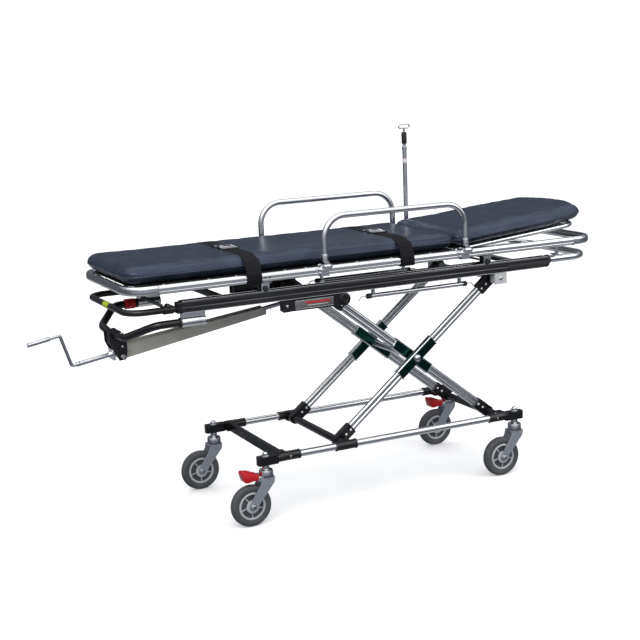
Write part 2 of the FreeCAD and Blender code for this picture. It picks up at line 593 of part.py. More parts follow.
def make_screw_unit():
    wall = 2.0
    half = 22.0
    outline = [(-946, 608), (-395, 698.5), (-395, 725), (-946, 658)]
    inside = [(-950, 609.5), (-390, 701.4), (-390, 735), (-950, 668)]
    housing = plate_xz(outline, -half, half).cut(plate_xz(inside, -half + wall, half - wall))
    save("screw_housing", housing)

    flange = Part.makeBox(6.0, 50.0, 42.0, V(-3.0, -25.0, -21.0))
    flange = rounded(flange, 8.0, lambda edge: abs(edge.tangentAt(edge.FirstParameter).x) > 0.9)
    bearing = rod(V(3.0, 0, 0), V(24.0, 0, 0), 14.0)
    nose = rod(V(-12.0, 0, 0), V(-3.0, 0, 0), 12.0)
    flange = flange.fuse([bearing, nose]).cut(rod(V(-20, 0, 0), V(30, 0, 0), SCREW_R + RUNNING))
    flange.rotate(V(0, 0, 0), Y_AXIS, -SCREW_ANGLE)
    flange.translate(screw_point(-974.0))
    pivot_block = block(-957, -935, -22.8, -14.2, 609.5, 645)
    blocks = []
    for piece in pair(pivot_block):
        blocks.append(piece.cut(housing))
    hole = cross_rod(HOUSING_PIVOT.x, HOUSING_PIVOT.z, -40, 40, 5.0 + RUNNING)
    flange = flange.fuse(blocks).removeSplitter().cut(hole)
    save("screw_bearing", flange)


def make_crank():
    lead = rod(screw_point(-1000.0), screw_point(-178.0), SCREW_R)
    save("lead_screw", lead)

    start = screw_point(-1000.0)
    sleeve_end = screw_point(-1096.0)
    elbow = V(-1118.0, 0, 604.5)
    top = V(-1152.0, 0, 714.0)
    grip_dir = (V(-1266.0, 0, 694.5) - top).normalize()
    stub_end = top + grip_dir * 34.0
    arm = swept([sleeve_end, elbow, top, stub_end], 9.0,
                ring(sleeve_end, elbow - sleeve_end, 6.0))
    shaft = rod(start, sleeve_end, 8.5)
    spindle = rod(stub_end, top + grip_dir * 113.0, 4.0)
    end_washer = rod(top + grip_dir * 113.0, top + grip_dir * 115.0, 6.5)
    save("crank_handle", shaft.fuse([arm, spindle, end_washer]).removeSplitter())

    grip = rod(top + grip_dir * 35.0, top + grip_dir * 112.5, 8.0)
    grip = rounded(grip, 2.0)
    save("crank_grip", grip.cut(rod(top, top + grip_dir * 130.0, 4.0 + RUNNING)))


# ---- stretcher ---------------------------------------------------------------------------------
BOW_LENGTH = 110.0          # how far each end bow reaches along the side tubes
BOW_BEND = 72.0
BED_INNER_Y = BED_Y - BED_TUBE_W / 2 - 0.2


def bed_section(x):
    """The flat-oval tube section, standing in the YZ plane on the near side."""
    half_w = BED_TUBE_W / 2
    half_h = BED_TUBE_H / 2 - half_w
    low = V(x, -BED_Y, BED_Z - half_h)
    high = V(x, -BED_Y, BED_Z + half_h)
    side = V(0, half_w, 0)
    edges = [Part.LineSegment(low + side, high + side).toShape(),
             Part.Arc(high + side, high + V(0, 0, half_w), high - side).toShape(),
             Part.LineSegment(high - side, low - side).toShape(),
             Part.Arc(low - side, low - V(0, 0, half_w), low + side).toShape()]
    return Part.Wire(edges)


def end_bow(x_start, x_end):
    """One U-shaped end of the stretcher frame."""
    points = [V(x_start, -BED_Y, BED_Z), V(x_end, -BED_Y, BED_Z), V(x_end, BED_Y, BED_Z),
              V(x_start, BED_Y, BED_Z)]
    return swept(points, BOW_BEND, bed_section(x_start))


def make_stretcher_frame():
    foot_joint = BED_FOOT + BOW_LENGTH
    head_joint = BED_HEAD - BOW_LENGTH
    side = Part.Face(bed_section(foot_joint)).extrude(V(head_joint - foot_joint, 0, 0))
    side = side.cut(block(foot_joint, head_joint, -BED_Y - 8, -BED_Y + 8, BED_Z - 12, BED_Z + 12))
    save("stretcher_side_tubes", *pair(side))
    half_w = BED_TUBE_W / 2
    save("stretcher_bows", end_bow(foot_joint, BED_FOOT + half_w), end_bow(head_joint, BED_HEAD - half_w))

    deck_plan = [(262, -236), (-905, -236), (-962, -180), (-962, 180), (-905, 236), (262, 236)]
    save("deck_sheet", slab(deck_plan, 887.0, 890.0))

    members = []
    for x in ROLLER_XS:
        members.append(block(x - 18, x + 18, -BED_INNER_Y, BED_INNER_Y, 860, 870))
    hinge = cross_rod(BACK_HINGE.x, BACK_HINGE.z, -BED_INNER_Y, BED_INNER_Y, 7.0)
    hinge = hinge.cut(block(BACK_HINGE.x + 2.5, BACK_HINGE.x + 10, -BED_Y, -237.5, 860, 900))
    hinge = hinge.cut(block(BACK_HINGE.x + 2.5, BACK_HINGE.x + 10, BED_Y, 237.5, 860, 900))
    save("stretcher_cross_members", *members, hinge)


def roller_bracket(x):
    """A clevis under the near side tube, over the track in the rail."""
    top = block(x - 15, x + 15, -BED_Y - 8, -207, 856, 859.8)
    cheeks = [block(x - 15, x + 15, y0, y0 + 3, 828.5, 856) for y0 in (-241.5, -211.5)]
    clevis = top.fuse(cheeks).removeSplitter()
    return clevis.cut(cross_rod(x, TRACK_Z + ROLLER_R + 0.2, -250, -200, 4.0 + RUNNING))


def make_rollers():
    axle_z = TRACK_Z + ROLLER_R + 0.2
    clip_z = HEAD_LOOP_Z + 17.0
    clip = block(712, 728, -RAIL_Y - 26, -RAIL_Y - 22, clip_z + 3, BED_Z - 16.3)
    clip = clip.fuse(block(712, 728, -RAIL_Y - 26, -RAIL_Y + 6, clip_z, clip_z + 4)).removeSplitter()
    brackets = []
    for x in ROLLER_XS:
        brackets += pair(roller_bracket(x))
    save("roller_brackets", *brackets, *pair(clip))
    for name, x in zip(("foot", "head"), ROLLER_XS):
        rollers = []
        for side in SIDES:
            roller = cross_rod(x, axle_z, side * 214.5, side * 235.5, ROLLER_R)
            roller = rounded(roller, 2.0)
            rollers.append(roller.fuse(cross_rod(x, axle_z, side * 208, side * 245, 4.0)).removeSplitter())
        axle = cross_rod(x, axle_z, -208, 208, 4.0)
        save("rollers_" + name, rollers[0].fuse([rollers[1], axle]).removeSplitter())


def make_backrest():
    """Tilting frame, its panel, and the bush at each hinge point; built level, then tilted."""
    start = BACK_HINGE.x
    level = BACK_HINGE.z
    points = [V(start, -200, level), V(BACK_TUBE_X, -200, level), V(BACK_TUBE_X, 200, level),
              V(start, 200, level)]
    tube = swept(points, 60.0, ring(points[0], V(1, 0, 0), 9.0))
    bushes = [cross_rod(start, BACK_HINGE.z, side * 185, side * 215, 12.0) for side in SIDES]
    hole = cross_rod(start, BACK_HINGE.z, -230, 230, 7.0 + RUNNING)
    frame = tube.fuse(bushes).removeSplitter().cut(hole)
    panel = block(300, BACK_TUBE_X - 50, -188, 188, BACK_HINGE.z + 5, BACK_HINGE.z + 8.5)
    pieces = [frame, panel]
    for piece in pieces:
        piece.rotate(BACK_HINGE, Y_AXIS, -BACK_TILT)
    save("backrest_frame", *pieces)


# ---- cushions ----------------------------------------------------------------------------------
def pad_plan(x_hinge, x_end):
    """The outline of a pad from above, with its two outer corners rounded in short steps."""
    inward = math.copysign(PAD_CORNER_R, x_hinge - x_end)
    corner = []
    for step in range(CORNER_STEPS + 1):
        turn = math.radians(90.0 * step / CORNER_STEPS)
        corner.append((x_end + inward * (1 - math.sin(turn)),
                       -PAD_HALF_W + PAD_CORNER_R * (1 - math.cos(turn))))
    far_corner = [(x, -y) for x, y in reversed(corner)]
    return [(x_hinge, -PAD_HALF_W)] + corner + far_corner + [(x_hinge, PAD_HALF_W)]


def make_cushions():
    """Two pads whose facing ends lean away from the hinge, so that they stay clear as the back rises."""
    over = PAD_TOP + 20.0
    rise = over - BACK_HINGE.z
    gap = 2.0

    main_end = BACK_HINGE.x - gap
    main_lean = rise * math.tan(math.radians(MAIN_PAD_BEVEL))
    main_plan = pad_plan(BACK_HINGE.x - 6, PAD_FOOT)
    main_waste = [(main_end, BACK_HINGE.z), (main_end - main_lean, over), (400, over),
                  (400, BACK_HINGE.z)]
    main = slab(main_plan, PAD_BOTTOM, PAD_TOP)
    save("mattress_main", main.cut(plate_xz(main_waste, -300, 300)))

    back_end = BACK_HINGE.x + gap
    back_lean = rise * math.tan(math.radians(BACK_PAD_BEVEL))
    back_plan = pad_plan(BACK_HINGE.x + 6, PAD_HEAD)
    back_waste = [(back_end, BACK_HINGE.z), (back_end + back_lean, over), (200, over),
                  (200, BACK_HINGE.z)]
    back = slab(back_plan, PAD_BOTTOM + gap, PAD_TOP).cut(plate_xz(back_waste, -300, 300))
    back.rotate(BACK_HINGE, Y_AXIS, -BACK_TILT)
    save("mattress_back", back)


# ---- side rails, pole and straps -----------------------------------------------------------------
def make_side_rails():
    hinge_pin_r = 4.0
    clamps = []
    for name, side in (("near", -1), ("far", 1)):
        y = side * SIDE_RAIL_Y
        left, right = SIDE_RAIL_XS
        foot_z = SIDE_HINGE_Z + 10.0
        points = [V(left, y, foot_z), V(left, y, SIDE_RAIL_TOP), V(right, y, SIDE_RAIL_TOP),
                  V(right, y, foot_z)]
        rail = bent_tube(points, 80.0, SIDE_RAIL_R)
        knuckles = []
        for x in SIDE_RAIL_XS:
            barrel = side_hinge_rod(side, x - 12, x + 12, 8.0)
            heel = block(x - 10, x + 10, side * 260, side * 284, 896.5, foot_z + 6)
            knuckles += [barrel, heel]
        rail = rail.fuse(knuckles).removeSplitter()
        rail = rail.cut(side_hinge_rod(side, -400, 400, hinge_pin_r + RUNNING))
        save("side_rail_" + name, rail)
        for x in SIDE_RAIL_XS:
            clamps.append(side_rail_clamp(x, side, hinge_pin_r))
    clamps.append(pole_bracket())
    save("rail_clamps", *clamps)


def side_hinge_rod(side, x0, x1, radius):
    """A round bar along the line that a side rail folds about."""
    y = side * SIDE_HINGE_Y
    return rod(V(x0, y, SIDE_HINGE_Z), V(x1, y, SIDE_HINGE_Z), radius)


def side_rail_clamp(x, side, pin_r):
    """A clamp round the side tube with two ears and the pin that a side rail turns on."""
    wrap = block(x - 17, x + 17, side * 238, side * 267, 857.5, 894.5)
    wrap = wrap.cut(block(x - 18, x + 18, side * 240.8, side * 263.2, 859.8, 892.2))
    ears = []
    for lift in (-1, 1):
        low = min(x + lift * 12.4, x + lift * 17)
        ears.append(block(low, low + 4.6, side * 266, side * 288, 884, 902))
    return wrap.fuse(ears + [side_hinge_rod(side, x - 17, x + 17, pin_r)]).removeSplitter()


def pole_bracket():
    """A clamp on the far side tube with a fork for the infusion pole's foot."""
    x = POLE_X
    wrap = block(x - 20, x + 20, 238, 267, 857.5, 894.5)
    wrap = wrap.cut(block(x - 21, x + 21, 240.8, 263.2, 859.8, 892.2))
    pin = cross_rod(x, POLE_Z, 266.0, POLE_Y + 14.0, 5.0)
    head = cross_rod(x, POLE_Z, POLE_Y + 12.5, POLE_Y + 16.0, 9.0)
    return wrap.fuse([pin, head]).removeSplitter()


def pole_point(x, z):
    """A point in the plane of the infusion pole, X counted from its axis."""
    return V(POLE_X + x, POLE_Y, z)


def make_pole():
    foot = cross_rod(POLE_X, POLE_Z, POLE_Y - 12.0, POLE_Y + 12.0, 13.0)
    outer = rod(pole_point(0, POLE_Z), pole_point(0, POLE_TUBE_TOP), 8.5)
    outer = outer.fuse(foot).removeSplitter()
    outer = outer.cut(rod(pole_point(0, 905), pole_point(0, POLE_TUBE_TOP + 4), POLE_ROD_R + RUNNING))
    outer = outer.cut(cross_rod(POLE_X, POLE_Z, POLE_Y - 20, POLE_Y + 20, 5.0 + RUNNING))
    save("pole_tube", outer)

    inner = rod(pole_point(0, 910), pole_point(0, 1250), POLE_ROD_R)
    grip = rounded(rod(pole_point(0, 1249), pole_point(0, 1294), 10.0), 2.5)
    neck = rod(pole_point(0, 1290), pole_point(0, 1312), 4.0)
    half_x = 24.0
    seam_x = -14.0
    low, high = POLE_RING_Z - 7.0, POLE_RING_Z + 7.0
    route = [pole_point(seam_x, low), pole_point(half_x, low), pole_point(half_x, high),
             pole_point(-half_x, high), pole_point(-half_x, low), pole_point(seam_x, low)]
    loop = path(route, 6.8).makePipeShell([ring(route[0], V(1, 0, 0), 3.2)], True, False)
    save("pole_hook", inner.fuse([grip, neck, loop]).removeSplitter())


def ribbon(points, thickness, x0, x1):
    """A strap of constant thickness that follows (y, z) points on its inner face."""
    outside = []
    for index, (y, z) in enumerate(points):
        before = points[max(index - 1, 0)]
        after = points[min(index + 1, len(points) - 1)]
        along = V(0, after[0] - before[0], after[1] - before[1]).normalize()
        outside.append((y - along.z * thickness, z + along.y * thickness))
    return plate_yz(list(points) + outside[::-1], x0, x1)


STRAP_WIDTH = 55.0
STRAPS = (-566.0, 32.0)     # lower X of each strap


def make_straps():
    over_half = [(-262, 853.5), (-266, 862), (-266, 890), (-250, 925), (-242.5, 945), (-239, 952),
                 (-232, 953.5)]
    over = over_half + [(-y, z) for y, z in reversed(over_half)]
    straps = [ribbon(over, 2.2, x0, x0 + STRAP_WIDTH) for x0 in STRAPS]
    save("straps", *straps)
    buckles = []
    for x0 in STRAPS:
        buckle = block(x0 - 5, x0 + STRAP_WIDTH + 5, -75, -20, 956.0, 962.0)
        buckles.append(rounded(buckle, 1.8))
    save("strap_buckles", *buckles)


os.makedirs("parts", exist_ok=True)
make_base()
make_casters()
make_legs()
make_lower_carriage()
make_upper_carriage()
make_rails()
make_foot_loop()
make_crank_frame()
make_guides_and_pivots()
make_screw_unit()
make_crank()
make_stretcher_frame()
make_rollers()
make_backrest()
make_cushions()
make_side_rails()
make_pole()
make_straps()
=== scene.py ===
import json
import math

import bmesh
import bpy
from mathutils import Matrix, Vector
from mathutils.bvhtree import BVHTree


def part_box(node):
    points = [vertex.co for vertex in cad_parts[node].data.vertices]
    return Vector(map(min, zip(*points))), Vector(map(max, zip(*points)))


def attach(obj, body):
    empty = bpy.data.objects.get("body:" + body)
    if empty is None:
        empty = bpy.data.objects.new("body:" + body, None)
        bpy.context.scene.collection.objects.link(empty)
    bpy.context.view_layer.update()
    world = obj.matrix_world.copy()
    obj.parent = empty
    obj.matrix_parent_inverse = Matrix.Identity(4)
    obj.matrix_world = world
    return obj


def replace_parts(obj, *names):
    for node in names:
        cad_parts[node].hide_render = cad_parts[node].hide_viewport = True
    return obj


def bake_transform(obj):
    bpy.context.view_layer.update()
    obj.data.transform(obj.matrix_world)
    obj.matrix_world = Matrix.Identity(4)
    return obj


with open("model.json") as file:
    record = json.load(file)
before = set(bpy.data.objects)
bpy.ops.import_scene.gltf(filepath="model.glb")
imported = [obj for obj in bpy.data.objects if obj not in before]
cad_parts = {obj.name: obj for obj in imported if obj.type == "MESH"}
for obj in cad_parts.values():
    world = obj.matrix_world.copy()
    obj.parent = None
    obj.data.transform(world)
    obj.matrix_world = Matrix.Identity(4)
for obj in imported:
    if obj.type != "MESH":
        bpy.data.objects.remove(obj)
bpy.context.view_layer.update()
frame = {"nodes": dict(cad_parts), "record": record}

# Metres, in the part's own frame: +X is the head end, +Y the side with the infusion pole, +Z up.
NEAR, FAR = -1, 1
SIDES = (NEAR, FAR)
UP = Vector((0, 0, 1))
OUT = {side: Vector((0, side, 0)) for side in SIDES}
CASTERS = ("near_foot", "far_foot", "near_head", "far_head")
BRAKED = ("near_foot", "far_head")
FORK_TOP = 0.172                    # height of the caster forks' flat tops
CASTER_TRAIL = 0.063                # how far each wheel trails behind its stem
HOOP_STEPS = 72


def box_middle(node):
    low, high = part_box(node)
    return (Vector(low) + Vector(high)) / 2


# the middle of the base, from the middle of the whole length
BASE_X = sum(box_middle("rim_" + name).x for name in CASTERS) / len(CASTERS) + CASTER_TRAIL


def at(x, y, z):
    """A point whose X is counted from the middle of the base."""
    return Vector((x + BASE_X, y, z))


# ---- camera, light and floor ----
def make_camera():
    data = bpy.data.cameras.new("camera")
    data.lens = 75.0
    data.sensor_width = 36.0
    camera = bpy.data.objects.new("camera", data)
    azimuth, elevation, roll = -26.04, 11.37, -2.30
    turns = ((azimuth, "Z"), (90.0 - elevation, "X"), (roll, "Z"))
    camera.matrix_world = Matrix.Translation(at(-2.299, -4.357, 1.621))
    for angle, axis in turns:
        camera.matrix_world = camera.matrix_world @ Matrix.Rotation(math.radians(angle), 4, axis)
    bpy.context.collection.objects.link(camera)
    bpy.context.scene.camera = camera


def area_light(name, place, target_height, size, power, tint=(1.0, 1.0, 1.0)):
    """A softbox that points at the frame's vertical axis."""
    data = bpy.data.lights.new(name, "AREA")
    data.shape = "RECTANGLE"
    data.size, data.size_y = size
    data.energy = power
    data.color = tint
    light = bpy.data.objects.new(name, data)
    light.location = place
    light.rotation_euler = (UP * target_height - Vector(place)).to_track_quat("-Z", "Y").to_euler()
    bpy.context.collection.objects.link(light)
    return light


def make_world():
    """What the surfaces reflect: a bright ceiling that leans towards the near side, and darker walls."""
    look = Look(bpy.data.worlds.new("studio"), "Background")
    ceiling = Vector((-0.12, -0.36, 0.92)).normalized()
    towards = look.add("VectorMath", "Value", {0: look.coords["Generated"], 1: ceiling}, operation="DOT_PRODUCT")
    reach = look.add("MapRange", "Result", {"Value": towards, "From Min": -0.6})
    sky = look.ramp(reach, (0.0, (0.27, 0.28, 0.30)), (0.08, (0.060, 0.066, 0.078)), (0.36, (0.065, 0.072, 0.085)),
                    (0.46, (0.19, 0.20, 0.23)), (0.59, (0.24, 0.25, 0.28)), (0.70, (0.55, 0.57, 0.60)),
                    (0.84, (1.0, 1.0, 1.0)))
    bpy.context.scene.world = look.finish({"Color": sky, "Strength": 1.5})
    bpy.context.scene.view_settings.view_transform = "Standard"


def make_lights():
    area_light("key", (-2.2, -2.6, 3.6), 0.7, (2.4, 1.6), 55.0, (1.0, 0.99, 0.97))
    area_light("fill", (2.8, -2.2, 2.2), 0.6, (2.0, 2.0), 18.0)
    rim = area_light("rim", (0.6, 3.4, 2.8), 0.8, (3.4, 1.2), 32.0, (0.95, 0.97, 1.0))
    rim.visible_glossy = False


def make_stage():
    """A white floor and backdrop, which the camera sees and reflections do not."""
    bpy.ops.mesh.primitive_plane_add(size=170.0)
    floor = bpy.context.object
    floor.name = "floor"
    look = Look(bpy.data.materials.new("floor_pale"))
    tint = look.ramp(look.noise(look.place, 3.0, 2.0), (0.3, (0.93, 0.93, 0.93)), (0.7, (0.96, 0.96, 0.96)))
    floor.data.materials.append(look.finish({"Roughness": 0.9, "Base Color": tint, "Emission Color": tint,
                                             "Emission Strength": 0.2}))
    bpy.ops.mesh.primitive_uv_sphere_add(radius=80.0, segments=64, ring_count=32)
    backdrop = bpy.context.object
    backdrop.name = "backdrop"
    look = Look(bpy.data.materials.new("backdrop_white"))
    glow = look.ramp(look.noise(look.place, 0.02, 2.0), (0.3, (0.99, 0.99, 0.99)), (0.7, (1.0, 1.0, 1.0)))
    backdrop.data.materials.append(look.finish({"Emission Color": glow, "Emission Strength": 1.0}))
    backdrop.visible_shadow = False
    for stage in (floor, backdrop):
        stage.visible_glossy = False
        stage.visible_diffuse = False


# ---- materials ----
class Look:
    """Builds one node tree; an input is either a plain value or another node's output."""

    def __init__(self, owner, shader="Principled BSDF"):
        owner.use_nodes = True
        self.owner, self.tree = owner, owner.node_tree
        self.shader = self.tree.nodes[shader]
        self.coords = self.tree.nodes.new("ShaderNodeTexCoord").outputs
        self.place = self.coords["Object"]

    def put(self, node, inputs):
        for name, value in inputs.items():
            if isinstance(value, bpy.types.NodeSocket):
                self.tree.links.new(value, node.inputs[name])
            else:
                node.inputs[name].default_value = value

    def add(self, kind, output, inputs, **settings):
        node = self.tree.nodes.new("ShaderNode" + kind)
        for name, value in settings.items():
            setattr(node, name, value)
        self.put(node, inputs)
        return node.outputs[output]

    def noise(self, vector, scale, detail=4.0, roughness=0.55):
        return self.add("TexNoise", "Fac", {"Vector": vector, "Scale": scale, "Detail": detail,
                                            "Roughness": roughness})

    def cells(self, scale):
        return self.add("TexVoronoi", "Distance", {"Vector": self.place, "Scale": scale})

    def ramp(self, value, *stops):
        node = self.tree.nodes.new("ShaderNodeValToRGB")
        elements = node.color_ramp.elements
        while len(elements) < len(stops):
            elements.new(0.5)
        for element, (place, colour) in zip(elements, stops):
            element.position = place
            element.color = (*colour, 1.0)
        self.put(node, {"Fac": value})
        return node.outputs["Color"]

    def spread(self, value, low, high):
        """Spreads a value over a range, following a texture."""
        return self.add("MapRange", "Result", {"Value": value, "To Min": low, "To Max": high})

    def bump(self, height, distance, strength, under=None):
        inputs = {"Height": height, "Distance": distance, "Strength": strength}
        return self.add("Bump", "Normal", inputs if under is None else {**inputs, "Normal": under})

    def finish(self, inputs):
        self.put(self.shader, inputs)
        return self.owner


def metal(look, dark, light, rough, grain=(6.0, 400.0, 400.0), turn=(0.0, 0.0, 0.0)):
    """Drawn or brushed metal whose grain runs along the first axis of the turned coordinates."""
    along = look.add("Mapping", "Vector", {"Vector": look.place, "Rotation": turn, "Scale": grain})
    lines = look.noise(along, 1.0, 3.0)
    return look.finish({"Metallic": 1.0, "Base Color": look.ramp(lines, (0.3, dark), (0.7, light)),
                        "Roughness": look.spread(look.noise(look.place, 9.0), *rough),
                        "Normal": look.bump(lines, 0.00004, 0.35)})


def paint(look, dark, light, rough, speck=900.0, depth=0.00012, strength=0.35):
    """Paint or moulded plastic with an even fine texture and slightly uneven gloss."""
    clouds = look.noise(look.place, 14.0, 5.0)
    return look.finish({"Base Color": look.ramp(clouds, (0.3, dark), (0.7, light)),
                        "Roughness": look.spread(clouds, *rough),
                        "Normal": look.bump(look.noise(look.place, speck, 2.0), depth, strength)})


def hammered(look, dark, light):
    """Hammer-finish enamel: small shallow cells in a metallic paint."""
    dimples = look.cells(260.0)
    return look.finish({"Metallic": 0.55, "Coat Weight": 0.4, "Coat Roughness": 0.12,
                        "Base Color": look.ramp(dimples, (0.1, dark), (0.6, light)),
                        "Roughness": look.spread(look.noise(look.place, 60.0), 0.22, 0.38),
                        "Normal": look.bump(dimples, 0.0006, 0.5)})


def leatherette(look, dark, light):
    """Coated cloth with a pebble grain, soft creases and a low sheen."""
    creases = look.noise(look.place, 16.0, 2.0, 0.5)
    soft = look.bump(creases, 0.0008, 0.06)
    return look.finish({"Specular IOR Level": 0.45, "Specular Tint": (0.62, 0.72, 1.0, 1.0),
                        "Base Color": look.ramp(creases, (0.32, dark), (0.68, light)),
                        "Roughness": look.spread(creases, 0.23, 0.29),
                        "Normal": look.bump(look.cells(620.0), 0.0002, 0.07, under=soft)})


def woven(look, dark, light):
    """Webbing: two crossing sets of threads, seen in colour and in relief."""
    threads = [look.add("TexWave", "Fac", {"Vector": look.place, "Scale": 65.0, "Distortion": 0.6, "Detail": 1.0},
                        bands_direction=axis) for axis in ("X", "Y")]
    both = look.add("Math", "Value", dict(enumerate(threads)), operation="MULTIPLY")
    return look.finish({"Specular IOR Level": 0.2, "Base Color": look.ramp(both, (0.1, dark), (0.7, light)),
                        "Roughness": look.spread(look.noise(look.place, 90.0), 0.62, 0.82),
                        "Normal": look.bump(both, 0.0006, 0.6)})


def flats_and_sides(look, flat, side, rough):
    """Anodised green on the faces that look along Y, bare metal on the rest."""
    across = look.add("SeparateXYZ", "Y", {"Vector": look.coords["Normal"]})
    facing = look.add("Math", "Value", {0: across}, operation="ABSOLUTE")
    return look.finish({"Metallic": 1.0, "Base Color": look.ramp(facing, (0.80, side), (0.90, flat)),
                        "Roughness": look.spread(look.noise(look.place, 30.0), *rough),
                        "Normal": look.bump(look.noise(look.place, 700.0, 2.0), 0.0001, 0.3)})


LEG_TURN = math.radians(38.5)       # slope of the scissor legs
RECIPES = {
    "bright_tube": (metal, (0.66, 0.67, 0.68), (0.82, 0.83, 0.84), (0.14, 0.25)),
    "bright_cross": (metal, (0.58, 0.59, 0.60), (0.74, 0.75, 0.76), (0.16, 0.28), (400.0, 6.0, 400.0)),
    "outer_leg": (metal, (0.56, 0.57, 0.58), (0.74, 0.75, 0.76), (0.16, 0.28), (6.0, 400.0, 400.0),
                  (0.0, LEG_TURN, 0.0)),
    "inner_leg": (metal, (0.56, 0.57, 0.58), (0.74, 0.75, 0.76), (0.16, 0.28), (6.0, 400.0, 400.0),
                  (0.0, -LEG_TURN, 0.0)),
    "chrome_tube": (metal, (0.64, 0.65, 0.66), (0.78, 0.79, 0.80), (0.08, 0.18)),
    "chrome": (metal, (0.62, 0.63, 0.65), (0.78, 0.79, 0.81), (0.06, 0.14), (90.0, 90.0, 90.0)),
    "zinc_steel": (metal, (0.46, 0.48, 0.50), (0.68, 0.70, 0.72), (0.14, 0.30), (30.0, 120.0, 120.0)),
    "dark_rail": (metal, (0.040, 0.040, 0.043), (0.13, 0.13, 0.135), (0.24, 0.38), (4.0, 140.0, 140.0)),
    "black_casting": (paint, (0.005, 0.005, 0.006), (0.012, 0.012, 0.013), (0.18, 0.34)),
    "black_plastic": (paint, (0.012, 0.012, 0.013), (0.026, 0.026, 0.027), (0.45, 0.62), 500.0),
    "grey_paint": (paint, (0.50, 0.51, 0.52), (0.60, 0.61, 0.62), (0.35, 0.5)),
    "beige_paint": (paint, (0.50, 0.49, 0.42), (0.58, 0.57, 0.50), (0.34, 0.50)),
    "hammered_grey": (hammered, (0.27, 0.30, 0.35), (0.46, 0.49, 0.54)),
    # painted shade: the thin disc deep in each rim, behind the spokes, is the rim's grey plastic painted dark as the
    # shade in the recess
    "well_painted_shade": (paint, (0.060, 0.064, 0.072), (0.090, 0.095, 0.105), (0.4, 0.55)),
    "rim_grey": (paint, (0.42, 0.44, 0.46), (0.54, 0.56, 0.58), (0.3, 0.45)),
    "tyre": (paint, (0.050, 0.053, 0.060), (0.085, 0.088, 0.095), (0.55, 0.75), 320.0, 0.0003, 0.6),
    "red_plastic": (paint, (0.48, 0.008, 0.014), (0.60, 0.016, 0.022), (0.25, 0.4)),
    "hivis": (paint, (0.50, 0.62, 0.02), (0.62, 0.75, 0.04), (0.35, 0.5)),
    "label_grey": (paint, (0.10, 0.10, 0.105), (0.15, 0.15, 0.155), (0.3, 0.42)),
    "label_red": (paint, (0.42, 0.02, 0.015), (0.52, 0.035, 0.03), (0.35, 0.5)),
    "label_white": (paint, (0.70, 0.70, 0.70), (0.80, 0.80, 0.80), (0.35, 0.5)),
    "leatherette": (leatherette, (0.016, 0.022, 0.036), (0.028, 0.037, 0.058)),
    "piping": (paint, (0.030, 0.036, 0.055), (0.060, 0.070, 0.100), (0.30, 0.42)),
    "webbing": (woven, (0.003, 0.003, 0.004), (0.012, 0.012, 0.014)),
    "green_sleeve": (flats_and_sides, (0.010, 0.050, 0.042), (0.62, 0.63, 0.64), (0.18, 0.32)),
}
MATERIALS = {name: make(Look(bpy.data.materials.new(name)), *values) for name, (make, *values) in RECIPES.items()}
NODE_MATERIALS = {
    "centre_cross_shaft": "bright_cross", "outer_leg_tubes": "outer_leg", "inner_leg_tubes": "inner_leg",
    "guide_channels": "black_casting",
}


def paint_cad_nodes():
    slots = {row["node"]: row["material_slot"] for row in frame["record"]["subparts"]}
    for node, obj in frame["nodes"].items():
        material = MATERIALS[NODE_MATERIALS.get(node, slots[node])]
        if not obj.material_slots:
            obj.data.materials.append(material)
        for slot in obj.material_slots:
            slot.material = material


# ---- mesh building ----
def to_mesh(part, name="part"):
    mesh = bpy.data.meshes.new(name)
    part.to_mesh(mesh)
    part.free()
    return mesh


def circle(steps):
    """(cosine, sine) pairs, evenly round a circle."""
    return [(math.cos(2 * math.pi * step / steps), math.sin(2 * math.pi * step / steps)) for step in range(steps)]


def join_rings(part, low, high):
    """Faces between two loops of vertices; either may be a single point."""
    if len(low) == 1 and len(high) == 1:
        return
    if len(low) == 1 or len(high) == 1:
        tip, ring = (low[0], high) if len(low) == 1 else (high[0], low)
        for a, b in zip(ring, ring[1:] + ring[:1]):
            part.faces.new((tip, a, b))
        return
    for (a, b), (c, d) in zip(zip(low, low[1:] + low[:1]), zip(high, high[1:] + high[:1])):
        part.faces.new((a, b, d, c))


def loft(part, rings, caps=True):
    """Joins a row of loops, with a flat face over each end."""
    for low, high in zip(rings, rings[1:]):
        join_rings(part, low, high)
    for ring in (rings[0][::-1], rings[-1]) if caps else ():
        if len(ring) > 1:
            part.faces.new(ring)
    bmesh.ops.recalc_face_normals(part, faces=part.faces)


def bevel_all(part, width):
    bmesh.ops.bevel(part, geom=part.edges, offset=width, segments=2, profile=0.5, affect="EDGES")


